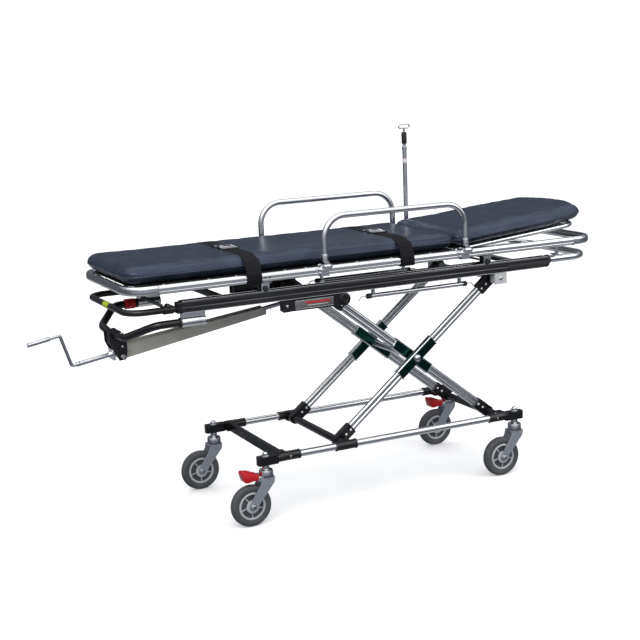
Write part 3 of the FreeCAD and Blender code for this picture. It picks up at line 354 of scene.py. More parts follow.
class Shape:
    """Collects solids into one piece."""

    def __init__(self):
        self.bm = bmesh.new()

    def add(self, part, matrix=Matrix()):
        bmesh.ops.transform(part, matrix=matrix, verts=part.verts)
        mesh = to_mesh(part)
        self.bm.from_mesh(mesh)
        bpy.data.meshes.remove(mesh)
        return self

    def box(self, centre, size, bevel, turn=Matrix.Identity(3)):
        part = bmesh.new()
        bmesh.ops.create_cube(part, size=1.0)
        bmesh.ops.scale(part, vec=Vector(size), verts=part.verts)
        bevel_all(part, bevel)
        return self.add(part, Matrix.Translation(centre) @ turn.to_4x4())

    def lathe(self, profile, place, axis, steps):
        """Turns (radius, height) points round an axis, and closes both ends with a flat face."""
        part = bmesh.new()
        rings = []
        for radius, height in profile:
            around = circle(steps) if radius > 0 else [(0.0, 0.0)]
            rings.append([part.verts.new((radius * c, radius * s, height)) for c, s in around])
        loft(part, rings)
        turn = UP.rotation_difference(Vector(axis).normalized()).to_matrix().to_4x4()
        return self.add(part, Matrix.Translation(place) @ turn)

    def ring(self, place, axis, inner, outer, length, lip, steps=32):
        """A band that stands on its place along the axis, with eased outer edges."""
        return self.lathe(((inner, 0), (outer, lip), (outer, length - lip), (inner, length)), place, axis, steps)

    def hoop(self, profile, place):
        """A ring about Y: the profile is a closed loop of (radius, offset) points."""
        part = bmesh.new()
        rings = [[part.verts.new((r * c, offset, r * s)) for r, offset in profile] for c, s in circle(HOOP_STEPS)]
        loft(part, [*rings, rings[0]], caps=False)
        return self.add(part, Matrix.Translation(place))

    def tube(self, points, radius, steps, closed=False, flat=1.0):
        """A bar along points; the frame is carried along, so it does not twist."""
        count = len(points)
        part = bmesh.new()
        rings = []
        normal = None
        for index, point in enumerate(points):
            before = points[(index - 1) % count] if closed or index else point
            after = points[(index + 1) % count] if closed or index < count - 1 else point
            along = (after - before).normalized()
            if normal is None:
                normal = along.orthogonal().normalized()
            normal = (normal - along * normal.dot(along)).normalized()
            side = along.cross(normal) * flat
            rings.append([part.verts.new(point + (normal * c + side * s) * radius) for c, s in circle(steps)])
        if closed:
            best = min(range(steps), key=lambda s: (rings[0][s].co - rings[-1][0].co).length)
            join_rings(part, rings[-1], rings[0][best:] + rings[0][:best])
        loft(part, rings, caps=not closed)
        return self.add(part)

    def prism(self, outline, direction, bevel=0.0):
        """A flat outline of 3-D points pushed along a vector."""
        part = bmesh.new()
        loft(part, [[part.verts.new(Vector(p) + push) for p in outline] for push in (Vector(), Vector(direction))])
        if bevel:
            bevel_all(part, bevel)
        return self.add(part)

    def piece(self, name, body, material, slot=None, angle=32.0):
        """Ends the shape. The slot argument is not used."""
        return finish_mesh(name, to_mesh(self.bm, name), body, material, angle)


def finish_mesh(name, mesh, body, material, angle):
    """Makes an object that rides on a body, or on none when no body is given."""
    obj = bpy.data.objects.new(name, mesh)
    bpy.context.collection.objects.link(obj)
    mesh.shade_smooth()
    mesh.set_sharp_from_angle(angle=math.radians(angle))
    mesh.materials.append(MATERIALS[material])
    if body is not None:
        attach(obj, body)
    return obj


def corner_arc(before, corner, after, radius, fewest, spacing=math.inf):
    """Points of the arc that rounds one corner of a route, in two or three dimensions."""
    back = (before - corner).normalized()
    ahead = (after - corner).normalized()
    half_turn = (math.pi - back.angle(ahead)) / 2
    cut = radius * math.tan(half_turn)
    centre = corner + (back + ahead).normalized() * (radius / math.cos(half_turn))
    start = corner + back * cut - centre
    end = corner + ahead * cut - centre
    steps = max(fewest, int(radius * 2 * half_turn / spacing))
    return [centre + start.slerp(end, step / steps).normalized() * radius for step in range(steps + 1)]


def arc_path(points, bend, steps):
    """Straight runs joined by arcs of one radius, as points."""
    route = [points[0]]
    for three in zip(points, points[1:], points[2:]):
        route += corner_arc(*three, bend, steps)
    return [*route, points[-1]]


# ---- cushions ----
SEAM_Z = 0.921
PAD_BOTTOM = 0.8935
PAD_TOP = 0.9505
# how far in from the outline, and how far up from the bottom
PAD_SECTION = ((0.036, 0.0), (0.027, 0.0015), (0.016, 0.009), (0.006, 0.019), (0.0, 0.0275), (0.0015, 0.036),
               (0.0070, 0.0465), (0.017, 0.0535), (0.032, 0.0565))
OUTLINE_GAP = 0.012
VOXEL = 0.0075
CLOTH_FRAMES = 20
SWELL_CAP = 0.0032                  # the cloth may move a point this far
CROWN = 0.002
GATHER_DEPTH, GATHER_REACH, GATHER_FOLDS = 0.0013, 0.11, 60.0
PIPING_RADIUS = 0.0021
BACK_TILT = math.radians(-5.0)


def rounded_outline(corners):
    """A closed plan outline from (point, radius) corners, evenly divided."""
    route = []
    for index, (corner, radius) in enumerate(corners):
        before, after = corners[index - 1][0], corners[(index + 1) % len(corners)][0]
        route += corner_arc(before, corner, after, radius, 3, OUTLINE_GAP)
    even = []
    for a, b in zip(route, route[1:] + route[:1]):
        parts = max(1, int((b - a).length / OUTLINE_GAP))
        even += [a.lerp(b, part / parts) for part in range(parts)]
    return even


def outline_directions(outline):
    """The direction of travel at each point of a closed outline."""
    count = len(outline)
    return [(outline[(index + 1) % count] - outline[index - 1]).normalized() for index in range(count)]


def pad_mesh(outline):
    """Closed cushion: the side pulls in under the seam and rolls over above it."""
    part = bmesh.new()
    rings = []
    for inset, lift in PAD_SECTION:
        moved = [p + Vector((-d.y, d.x)) * inset for p, d in zip(outline, outline_directions(outline))]
        rings.append([part.verts.new((p.x, p.y, PAD_BOTTOM + lift)) for p in moved])
    loft(part, rings)
    return to_mesh(part)


def apply_modifier(obj, modifier):
    bpy.ops.object.select_all(action="DESELECT")
    bpy.context.view_layer.objects.active = obj
    bpy.ops.object.modifier_apply(modifier=modifier.name)


def swell(obj):
    """Remeshes the pad, lets cloth under pressure swell and crease it, and caps how far a point may go."""
    remesh = obj.modifiers.new("remesh", "REMESH")
    remesh.mode = "VOXEL"
    remesh.voxel_size = VOXEL
    apply_modifier(obj, remesh)
    rest = [v.co.copy() for v in obj.data.vertices]
    held = obj.vertex_groups.new(name="held")
    for vertex in obj.data.vertices:
        if vertex.co.z < PAD_BOTTOM + VOXEL:
            held.add([vertex.index], 1.0, "REPLACE")
        elif abs(vertex.co.z - SEAM_Z) < VOXEL * 0.8:
            held.add([vertex.index], 0.85, "REPLACE")
    cloth = obj.modifiers.new("cloth", "CLOTH")
    settings = cloth.settings
    settings.quality = 5
    settings.mass = 0.25
    settings.tension_stiffness = 14.0
    settings.compression_stiffness = 14.0
    settings.bending_stiffness = 0.35
    settings.use_pressure = True
    settings.uniform_pressure_force = 1.2
    settings.shrink_min = -0.012
    settings.vertex_group_mass = "held"
    settings.effector_weights.gravity = 0.0
    cloth.collision_settings.use_self_collision = False
    cloth.point_cache.frame_start = 1
    cloth.point_cache.frame_end = CLOTH_FRAMES
    for step in range(1, CLOTH_FRAMES + 1):
        bpy.context.scene.frame_set(step)
    swollen = obj.evaluated_get(bpy.context.evaluated_depsgraph_get()).to_mesh()
    moved = [v.co.copy() for v in swollen.vertices]
    obj.modifiers.remove(cloth)
    bpy.context.scene.frame_set(1)
    for vertex, start, end in zip(obj.data.vertices, rest, moved):
        shift = end - start
        if shift.length > SWELL_CAP:
            shift = shift.normalized() * SWELL_CAP
        if start.z < PAD_BOTTOM + VOXEL:
            shift.z = max(shift.z, 0.0)
        vertex.co = start + shift
    obj.vertex_groups.clear()


def gather(mesh, corners, middle):
    """Small folds that fan out from each sewn corner, above and below the seam."""
    for vertex in mesh.vertices:
        for corner in corners:
            offset = vertex.co.xy - corner
            fall = max(0.0, 1.0 - offset.length / GATHER_REACH)
            if fall <= 0.0:
                continue
            height = abs(vertex.co.z - SEAM_Z)
            band = math.exp(-((height - 0.010) / 0.012) ** 2)
            axis = (middle - corner).normalized()
            around = math.atan2(offset.cross(axis), offset.dot(axis) + GATHER_REACH * 0.4)
            ripple = math.sin(around * GATHER_FOLDS) * GATHER_DEPTH * band * math.sqrt(fall)
            vertex.co += Vector((*(-axis * ripple), ripple * 0.4))


def waves(x, y):
    """A repeatable soft wave field used to break up the flat tops."""
    return (math.sin(x * 9.1 + 1.3) * math.cos(y * 11.7 + 0.4) + 0.6 * math.sin(x * 21.0 + y * 17.0)
            + 0.4 * math.cos(x * 5.2 - y * 29.0))


def soften_top(mesh, half_width, x0, x1):
    """Crowns the top a little and gives it the gentle unevenness of foam under coated cloth."""
    for vertex in mesh.vertices:
        if vertex.co.z < PAD_TOP - 0.012:
            continue
        across = min(1.0, abs(vertex.co.y) / half_width)
        along = (vertex.co.x - x0) / (x1 - x0)
        edge = max(0.0, 1 - across ** 2) * max(0.0, min(1.0, along * 8, (1 - along) * 8))
        vertex.co.z += CROWN * edge + 0.0006 * waves(vertex.co.x, vertex.co.y) * edge


def make_piping(name, body, tree, outline):
    """The sewn cord that follows the pad's side all the way round, at the height of the seam."""
    route = []
    for point, along in zip(outline, outline_directions(outline)):
        outward = Vector((along.y, -along.x, 0))
        place = Vector((point.x, point.y, SEAM_Z))
        hit, _, _, _ = tree.ray_cast(place + outward * 0.05, -outward, 0.1)
        route.append((hit or place) - outward * 0.0002)
    piping = Shape().tube(route, PIPING_RADIUS, 8, closed=True)
    return piping.piece(name, body, "piping", "leatherette", 60.0)


def make_pad(name, body, plan, gathers):
    """A cushion with its piping; plan rows are x, y and corner radius, gathers are x and y."""
    outline = rounded_outline([(at(x, y, 0).xy, radius) for x, y, radius in plan])
    pad = finish_mesh(name + "_pad", pad_mesh(outline), body, "leatherette", 80.0)
    swell(pad)
    xs, ys = zip(*outline)
    soften_top(pad.data, max(ys), min(xs), max(xs))
    gather(pad.data, [at(x, y, 0).xy for x, y in gathers], Vector(((min(xs) + max(xs)) / 2, 0.0)))
    finer = pad.modifiers.new("finer", "SUBSURF")
    finer.levels = 1
    apply_modifier(pad, finer)
    pad.data.shade_smooth()
    tree = BVHTree.FromObject(pad, bpy.context.evaluated_depsgraph_get())
    return pad, make_piping(name + "_piping", body, tree, outline), tree


def make_corner_seams(tree):
    """The short seams down the main pad's sides."""
    seams = Shape()
    for x in (-0.835, 0.245):
        for side in SIDES:
            points = []
            for step in range(9):
                start = at(x + 0.002 * math.sin(step), side * 0.3, SEAM_Z + 0.001 + step * 0.0032)
                hit, _, _, _ = tree.ray_cast(start, Vector((0, -side, 0)), 0.2)
                if hit is not None:
                    points.append(hit)
            if len(points) > 2:
                seams.tube(points, 0.0012, 6)
    seams.piece("mattress_main_corner_seams", "stretcher", "piping", "leatherette", 60.0)


def make_mattress():
    half, foot, head = 0.236, -0.984, 0.928
    main_plan = ((0.274, half, 0.022), (foot, half, 0.056), (foot, -half, 0.056), (0.274, -half, 0.022))
    main, _, tree = make_pad("mattress_main", "stretcher", main_plan,
                             [(foot + 0.02, side * (half - 0.02)) for side in SIDES])
    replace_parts(main, "mattress_main")
    make_corner_seams(tree)

    far_half = ((head, 0.070, 0.100), (0.876, 0.200, 0.038), (0.720, half, 0.150), (0.287, half, 0.022))
    back_plan = (*far_half, *((x, -y, radius) for x, y, radius in reversed(far_half)))
    back, piping, _ = make_pad("mattress_back", None, back_plan, [(0.872, side * 0.192) for side in SIDES])
    hinge = at(0.280, 0, 0.882)
    tilt = Matrix.Translation(hinge) @ Matrix.Rotation(BACK_TILT, 4, "Y") @ Matrix.Translation(-hinge)
    for obj in (back, piping):
        obj.data.transform(tilt @ Matrix.Translation(UP * 0.002))
    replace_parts(back, "mattress_back")
    for obj in (back, piping):
        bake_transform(obj)
    return tree


# ---- straps ----
STRAPS = (("legs", -0.566), ("hips", 0.032))
STRAP_WIDTH = 0.055
STRAP_ROWS, STRAP_COLUMNS = 46, 9
STRAP_LIFT = 0.0012
# y and z of the part that hangs down the near side and goes round the frame tube
STRAP_HANG = ((-0.240, 0.8585), (-0.2535, 0.8560), (-0.2655, 0.8600), (-0.2668, 0.8700), (-0.2668, 0.8820),
              (-0.2640, 0.8960), (-0.2590, 0.9080), (-0.2530, 0.9200), (-0.2480, 0.9310))
BUCKLE_Y = -0.015


def pad_height(tree, x, y, missed):
    """Height of the pad's top at one place, or a usual height where the ray misses it."""
    hit, _, _, _ = tree.ray_cast(at(x, y, 1.05), -UP, 0.2)
    return hit.z if hit is not None else missed


def strap_line(tree, x):
    """One thread of the strap: over the mattress, down its sides and round the frame tubes."""
    top = []
    for row in range(STRAP_ROWS):
        y = -0.2385 + 0.477 * row / (STRAP_ROWS - 1)
        top.append((y, pad_height(tree, x, y, 0.940) + STRAP_LIFT))
    smooth = []
    for index, (y, z) in enumerate(top):
        window = top[max(0, index - 2):index + 3]
        smooth.append((y, max(z, sum(p[1] for p in window) / len(window))))
    line = [*STRAP_HANG, *smooth, *((-y, z) for y, z in reversed(STRAP_HANG))]
    return [at(x, y, z) for y, z in line]


def make_strap(name, x0, tree):
    part = bmesh.new()
    grid = []
    for column in range(STRAP_COLUMNS):
        line = strap_line(tree, x0 + STRAP_WIDTH * column / (STRAP_COLUMNS - 1))
        grid.append([part.verts.new(p) for p in line])
    for left, right in zip(grid, grid[1:]):
        for (a, b), (c, d) in zip(zip(left, left[1:]), zip(right, right[1:])):
            part.faces.new((a, b, d, c))
    bmesh.ops.recalc_face_normals(part, faces=part.faces)
    mesh = to_mesh(part)
    obj = finish_mesh("strap_" + name, mesh, "stretcher", "webbing", 50.0)
    faces_up = mesh.polygons[len(mesh.polygons) // 2].normal.z > 0
    thick = obj.modifiers.new("thick", "SOLIDIFY")
    thick.thickness = 0.0018
    thick.offset = 1.0 if faces_up else -1.0
    edge = obj.modifiers.new("edge", "BEVEL")
    edge.width = 0.0004
    edge.segments = 2
    edge.limit_method = "ANGLE"
    return obj


def make_buckle(name, x0, tree):
    """Seat-belt style buckle: cover with a pressed dish, tongue plate with its slot bar, release button."""
    x = x0 + STRAP_WIDTH / 2
    middle = at(x, BUCKLE_Y, pad_height(tree, x, BUCKLE_Y, 0.952) + 0.0035)
    buckle, button, keepers = Shape(), Shape(), Shape()
    buckle.box(middle + UP * 0.003, (0.056, 0.040, 0.006), 0.0026)
    buckle.box(middle + Vector((0, 0.004, 0.0068)), (0.046, 0.024, 0.0022), 0.001)
    for y in (-0.034, 0.035):
        buckle.box(middle + Vector((0, y, 0.0016)), (0.060, 0.004, 0.0032), 0.0012)
    for end in (-1, 1):
        for y, length in ((-0.028, 0.016), (0.029, 0.014)):
            buckle.box(middle + Vector((end * 0.028, y, 0.0016)), (0.004, length, 0.0032), 0.0012)
    button.box(middle + Vector((0, -0.0145, 0.0066)), (0.030, 0.010, 0.0026), 0.001)
    button.piece("buckle_button_" + name, "stretcher", "black_plastic")
    for y in (-0.052, 0.062):
        keepers.box(middle + Vector((0, y, 0.0008)), (0.060, 0.009, 0.0052), 0.0016)
    keepers.piece("strap_keepers_" + name, "stretcher", "black_plastic")
    return buckle.piece("buckle_" + name, "stretcher", "chrome")


def make_straps(tree):
    straps = [make_strap(name, x0, tree) for name, x0 in STRAPS]
    buckles = [make_buckle(name, x0, tree) for name, x0 in STRAPS]
    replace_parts(straps[0], "straps")
    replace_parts(buckles[0], "strap_buckles")


# ---- wheels and casters ----
TYRE_HALF = ((0.0502, 0.0125), (0.0560, 0.0150), (0.0640, 0.0162), (0.0690, 0.0150), (0.0726, 0.0118),
             (0.0742, 0.0075), (0.0734, 0.0066), (0.0734, 0.0056), (0.0748, 0.0048))
TYRE_PROFILE = (*((r, -reach) for r, reach in TYRE_HALF), (0.0750, 0.0), *reversed(TYRE_HALF))
# The thin disc deep in the rim behind the spokes, painted dark to stand for the shade in the recess.
SHADE_DISC_PROFILE = ((0.0165, 0.0062), (0.0440, 0.0062), (0.0440, 0.0070), (0.0165, 0.0070))
RIM_EDGE_PROFILE = ((0.0420, 0.0128), (0.0492, 0.0128), (0.0492, 0.0144), (0.0470, 0.0152), (0.0430, 0.0144))
HUB_CAP_PROFILE = ((0.0, 0), (0.0245, 0), (0.0240, 0.0008), (0.0200, 0.0016), (0.0, 0.0016))
SWIVEL_PROFILE = ((0.0140, -0.0012), (0.0252, -0.0012), (0.0256, 0.004), (0.0256, 0.0165), (0.0238, 0.0215),
                  (0.0185, 0.0238), (0.0135, 0.0242))
NUT_PROFILE = ((0, 0.001), (0.0118, 0.001), (0.0118, 0.0075), (0.0100, 0.0085), (0, 0.0085))
DOME_PROFILE = ((0, 0.008), (0.0098, 0.008), (0.0094, 0.011), (0.0070, 0.0142), (0.0036, 0.0158), (0, 0.0162))
PEDAL_OUTLINE = ((0.004, 0.004), (-0.006, 0.012), (-0.020, 0.015), (-0.040, 0.023), (-0.060, 0.027),
                 (-0.064, 0.020), (-0.060, 0.004), (-0.055, -0.011), (-0.042, -0.013), (-0.026, -0.009),
                 (-0.010, -0.010), (0.003, -0.005))


def hex_head(shape, place, axis, radius, height):
    profile = ((0, 0), (radius, 0), (radius, height * 0.8), (radius * 0.86, height), (0, height))
    shape.lathe(profile, place, axis, 6)


def round_head(shape, place, axis, radius, height):
    profile = ((0, 0), (radius, 0), (radius * 0.98, height * 0.35), (radius * 0.78, height * 0.75),
               (radius * 0.4, height * 0.96), (0, height))
    shape.lathe(profile, place, axis, 20)


def washer(shape, place, axis, radius, height):
    shape.lathe(((0, 0), (radius, 0), (radius, height), (0, height)), place, axis, 28)


def make_wheel(name, wheel):
    tyre = Shape().hoop(TYRE_PROFILE, wheel).piece("tyre_tread_" + name, "wheel_" + name, "tyre", angle=30.0)
    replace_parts(tyre, "tyre_" + name)
    caps, shade_discs, spokes = Shape(), Shape(), Shape()
    for side in SIDES:
        out = OUT[side]
        caps.lathe(HUB_CAP_PROFILE, wheel + out * 0.0178, out, 40)
        # thin disc in the recess behind the spokes, painted dark: painted shade on the rim's grey plastic
        shade_discs.hoop([(radius, side * reach) for radius, reach in SHADE_DISC_PROFILE], wheel)
        spokes.hoop([(radius, side * reach) for radius, reach in RIM_EDGE_PROFILE], wheel)
        for index in range(5):
            turn = Matrix.Rotation(math.radians(90 + 72 * index), 3, "Y")
            place = wheel + turn @ Vector((0.031, 0, 0)) + out * 0.0085
            spokes.box(place, (0.030, 0.0045, 0.0042), 0.0012, turn)
    caps.piece("hub_caps_" + name, "wheel_" + name, "rim_grey")
    shade_discs.piece("rim_shade_discs_" + name, "wheel_" + name, "well_painted_shade", "rim_grey")
    spokes.piece("rim_spokes_" + name, "wheel_" + name, "rim_grey")


def make_caster_details(name, wheel, stem):
    body = "caster_" + name
    race = Shape().lathe(SWIVEL_PROFILE, stem + UP * 0.1745, UP, 48)
    race.piece("swivel_race_" + name, body, "chrome")
    seal = Shape().ring(stem + UP * 0.1722, UP, 0.0250, 0.0274, 0.0026, 0.0004, 48)
    seal.piece("swivel_seal_" + name, body, "black_plastic")
    bolts, ribs = Shape(), Shape()
    for side in SIDES:
        out = OUT[side]
        hex_head(bolts, wheel + out * 0.029, out, 0.0085, 0.0045)
        washer(bolts, wheel + out * 0.0239, out, 0.0118, 0.0012)
        face = wheel.y + side * 0.024
        corners = ((stem.x - 0.016, 0.163), (stem.x + 0.006, 0.163), (wheel.x + 0.008, 0.096),
                   (wheel.x - 0.005, 0.098))
        ribs.prism([(x, face, z) for x, z in corners], out * 0.0007)
    bolts.piece("axle_bolt_" + name, body, "zinc_steel")
    ribs.piece("fork_ribs_" + name, body, "hammered_grey")


def make_pedal(name, hinge):
    """The brake lever with three grip ridges, and the pin that it turns on."""
    half = 0.022
    pedal = Shape().prism([hinge + Vector((x, -half, z)) for x, z in PEDAL_OUTLINE], (0, 2 * half, 0), 0.0022)
    for row in range(3):
        ridge = hinge + Vector((-0.024 - 0.008 * row, 0, 0.0175 + 0.0033 * row))
        pedal.box(ridge, (0.003, 0.038, 0.003), 0.001)
    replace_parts(pedal.piece("pedal_tread_" + name, "pedal_" + name, "red_plastic"), "brake_pedal_" + name)
    pin = Shape()
    for side in SIDES:
        round_head(pin, hinge + OUT[side] * 0.0235, OUT[side], 0.0046, 0.0024)
    pin.piece("pedal_pin_" + name, "caster_" + name, "chrome")


def make_casters():
    nuts = Shape()
    for name in CASTERS:
        wheel = box_middle("rim_" + name)
        stem = Vector((wheel.x + CASTER_TRAIL, wheel.y, 0.0))
        make_wheel(name, wheel)
        make_caster_details(name, wheel, stem)
        if name in BRAKED:
            make_pedal(name, stem + Vector((-0.033, 0, FORK_TOP + 0.004)))
        top = stem + UP * 0.245
        washer(nuts, top, UP, 0.0155, 0.0015)
        nuts.lathe(NUT_PROFILE, top, UP, 6)
        nuts.lathe(DOME_PROFILE, top, UP, 24)
    nuts.piece("stem_dome_nuts", "base", "chrome")


# ---- pieces that come in near and far pairs ----
def pair(x, y, z):
    """One place on the near and one on the far side, each with its outward direction."""
    return [(at(x, side * y, z), OUT[side]) for side in SIDES]


def paired_boxes(name, body, material, slot, bevel, rows):
    """Rows of a place and a size."""
    shape = Shape()
    for place, size in rows:
        for point, _ in pair(*place):
            shape.box(point, size, bevel)
    shape.piece(name, body, material, slot)


def paired_rings(name, body, material, xs, y, z, inner, outer, length, lip):
    """Bands round tubes that run along X."""
    shape = Shape()
    for x in xs:
        for point, _ in pair(x, y, z):
            shape.ring(point, (1, 0, 0), inner, outer, length, lip)
    shape.piece(name, body, material)


def paired_heads(shape, rows):
    """Round heads that face outwards: rows of x, y, z, radius and height."""
    for x, y, z, radius, height in rows:
        for point, out in pair(x, y, z):
            round_head(shape, point, out, radius, height)
    return shape


# ---- scissor ----
PIVOT = at(0.461, 0, 0.232)
SLIDE_LOW = at(-0.207, 0, 0.232)
SLIDE_HIGH = at(-0.207, 0, 0.763)
PIVOT_HIGH = at(0.461, 0, 0.763)
CENTRE = (PIVOT + SLIDE_HIGH) / 2
LEGS = (("outer_legs", SLIDE_LOW, PIVOT_HIGH, 0.185), ("inner_legs", PIVOT, SLIDE_HIGH, 0.150))


def make_leg_details():
    """Rivets at the leg ends, and the bands at both ends of the middle sleeves."""
    for body, low, high, y in LEGS:
        rivets, bands = Shape(), Shape()
        along = (high - low).normalized()
        turn = Matrix((along, Vector((0, 1, 0)), Vector((0, 1, 0)).cross(along))).transposed()
        for side in SIDES:
            for end, direction in ((low, along), (high, -along)):
                for face in SIDES:
                    for distance in (0.036, 0.060):
                        place = end + direction * distance + Vector((0, side * y + face * 0.0129, 0))
                        round_head(rivets, place, (0, face, 0), 0.0046, 0.0022)
                place = (low + high) / 2 + direction * 0.0925 + Vector((0, side * y, 0))
                bands.box(place, (0.003, 0.0268, 0.0428), 0.0012, turn)
        rivets.piece(body + "_rivets", body, "label_white", "chrome")
        bands.piece(body + "_sleeve_bands", body, "outer_leg", "bright_tube")

    bolts = Shape()
    for side in SIDES:
        out = OUT[side]
        round_head(bolts, CENTRE + out * 0.2035, out, 0.0115, 0.0050)
        washer(bolts, CENTRE + out * 0.1985, out, 0.0145, 0.0012)
    bolts.piece("centre_pivot_bolts", "inner_legs", "chrome")


def make_base_details():
    """End rings of the sliding sleeves and of the corner sockets, and the sockets' screws."""
    paired_rings("carriage_wiper_rings", "lower_carriage", "black_plastic", (-0.2487, -0.1707), 0.245, 0.232,
                 0.0127, 0.0178, 0.0054, 0.0006)
    paired_rings("corner_socket_rings", "base", "black_casting", (-0.3967, 0.4053), 0.245, 0.232,
                 0.0127, 0.0174, 0.0054, 0.0006)
    screws = Shape()
    for x in (-0.432, 0.436):
        for point, _ in pair(x, 0.245, 0.2482):
            round_head(screws, point, UP, 0.0042, 0.0022)
        paired_heads(screws, ((x, 0.2615, 0.232, 0.0038, 0.0018),))
    screws.piece("corner_socket_screws", "base", "zinc_steel")


# ---- platform ----
def make_rail_trim():
    """Bare metal edges of the dark rails, end caps and the label plates."""
    edge = (1.479, 0.0022, 0.0018)
    paired_boxes("rail_bright_edges", "platform", "bright_tube", None, 0.0006,
                 (((-0.0555, 0.2412, 0.8256), edge), ((-0.0555, 0.2088, 0.8256), edge),
                  ((-0.0555, 0.2423, 0.7862), edge)))
    paired_boxes("rail_grip_sleeves", "platform", "black_plastic", None, 0.009,
                 (((0.597, 0.225, 0.8015), (0.200, 0.0372, 0.0300)),))
    caps, hubs = Shape(), Shape()
    for point, _ in pair(0.686, 0.225, 0.811):
        caps.lathe(((0.0146, 0), (0.0182, 0.001), (0.0182, 0.012), (0.0146, 0.016)), point, (1, 0, 0), 32)
    caps.piece("head_loop_collars", "platform", "black_plastic")
    for point, out in pair(-0.186, 0.2378, 0.763):
        hubs.lathe(((0, 0), (0.0225, 0), (0.0225, 0.0030), (0.0190, 0.0050), (0.0120, 0.0050), (0.0105, 0.0036),
                    (0, 0.0036)), point, out, 36)
    hubs.piece("guide_end_hubs", "platform", "black_casting")

    paired_boxes("guide_label_plates", "platform", "label_grey", "black_plastic", 0.0004,
                 (((-0.305, 0.2384, 0.7625), (0.150, 0.0009, 0.0300)),))
    paired_boxes("guide_label_stripes", "platform", "label_red", "red_plastic", 0.0002,
                 (((-0.292, 0.2390, 0.7670), (0.094, 0.0005, 0.0080)),))
    paired_boxes("guide_label_lines", "platform", "label_white", "grey_paint", 0.0002,
                 (((-0.292, 0.2390, 0.7575), (0.080, 0.0005, 0.0018)),
                  ((-0.305, 0.2390, 0.7768), (0.146, 0.0005, 0.0010)),
                  ((-0.305, 0.2390, 0.7482), (0.146, 0.0005, 0.0010))))
    rows = ((-0.411, 0.2420, 0.7625, 0.0050, 0.0026), (-0.198, 0.2380, 0.7625, 0.0050, 0.0026),
            (0.4705, 0.2425, 0.7640, 0.0075, 0.0032), (-0.786, 0.2418, 0.752, 0.0038, 0.0018),
            (-0.722, 0.2418, 0.752, 0.0038, 0.0018))
    paired_heads(Shape(), rows).piece("platform_screws", "platform", "zinc_steel")


def make_foot_end_details():
    across = (0, 1, 0)
    band = Shape().ring(at(-0.979, -0.035, 0.800), across, 0.0110, 0.0116, 0.055, 0.0004)
    band.piece("warning_band", "platform", "hivis", "red_plastic")
    marks = Shape()
    for y in (-0.028, -0.010, 0.008):
        marks.ring(at(-0.979, y, 0.800), across, 0.0114, 0.01185, 0.003, 0.0002)
    marks.piece("warning_band_marks", "platform", "black_plastic")

    catches = paired_heads(Shape(), ((-0.839, 0.2315, 0.810, 0.0085, 0.004),))
    for side in SIDES:
        start, end = at(-0.858, side * 0.222, 0.814), at(-0.927, side * 0.218, 0.853)
        catches.tube([start, start.lerp(end, 0.5) + UP * 0.001, end], 0.0066, 10, flat=0.8)
    catches.piece("catch_links", "platform", "black_casting")

    bolts = paired_heads(Shape(), ((-0.972, 0.0322, 0.690, 0.0052, 0.0026), (-0.944, 0.0322, 0.700, 0.0052, 0.0026),
                                   (-0.944, 0.0322, 0.655, 0.0045, 0.0022)))
    for point, out in pair(-0.946, 0.0362, 0.621):
        hex_head(bolts, point, out, 0.0085, 0.0050)
    bolts.piece("crank_bracket_bolts", "platform", "chrome")

    paired_rings("frame_tube_collars", "platform", "black_plastic", (-0.8035,), 0.225, 0.752,
                 0.0137, 0.0172, 0.006, 0.0008)
    ribs = Shape()
    for step in range(7):
        ribs.ring(at(-0.844 + 0.0052 * step, 0.225, 0.752), (1, 0, 0), 0.0172, 0.0190, 0.003, 0.0008)
    ribs.piece("release_sleeve_ribs", "release_sleeve", "red_plastic")


def make_lock_rod_details():
    ends, hooks = Shape(), Shape()
    for x, direction in ((-0.075, -1), (0.333, 1)):
        ahead = Vector((direction, 0, 0))
        for place, _ in pair(x, 0.207, 0.755):
            ends.lathe(((0, 0), (0.0098, 0), (0.0098, 0.014), (0.0070, 0.018), (0, 0.018)), place - ahead * 0.010,
                       ahead, 24)
            tip = place + ahead * 0.008
            bends = [tip, tip + ahead * 0.018 + UP * 0.002, tip + ahead * 0.034 - UP * 0.014]
            hooks.tube(arc_path(bends, 0.008, 5), 0.0022, 8)
    ends.piece("lock_rod_ends", "platform", "black_plastic")
    hooks.piece("lock_rod_hooks", "platform", "zinc_steel")


SCREW_RISE = 0.155                  # the lift screw climbs this much per metre towards the head
SCREW_AXIS = Vector((1, 0, SCREW_RISE)).normalized()


def on_screw(x):
    """The point of the lift screw's axis at one X."""
    return at(x, 0, 0.625 + SCREW_RISE * (x + 0.986))


def make_screw_details():
    across = Vector((0, 1, 0))
    upwards = SCREW_AXIS.cross(across)
    pitch, turns, steps, radius = 0.008, 28, 14, 0.0080
    points = []
    for step in range(turns * steps + 1):
        angle = 2 * math.pi * step / steps
        swing = across * math.cos(angle) + upwards * math.sin(angle)
        points.append(on_screw(-0.410) + SCREW_AXIS * (pitch * step / steps) + swing * radius)
    Shape().tube(points, 0.0011, 5).piece("lift_screw_thread", "crank", "zinc_steel", angle=60.0)

    lips = Shape()
    for side in SIDES:
        low, high = at(-0.940, side * 0.0226, 0.658), at(-0.400, side * 0.0226, 0.7245)
        along = (high - low).normalized()
        turn = Matrix((along, across, along.cross(across))).transposed()
        lips.box((low + high) / 2, ((high - low).length, 0.0028, 0.0032), 0.001, turn)
    lips.piece("screw_housing_lips", "screw_unit", "beige_paint")
    rows = [(x, 0.022, 0.628 + (x + 0.946) * 0.1642, 0.0035, 0.0016) for x in (-0.915, -0.80, -0.66, -0.52)]
    paired_heads(Shape(), rows).piece("screw_housing_rivets", "screw_unit", "zinc_steel")


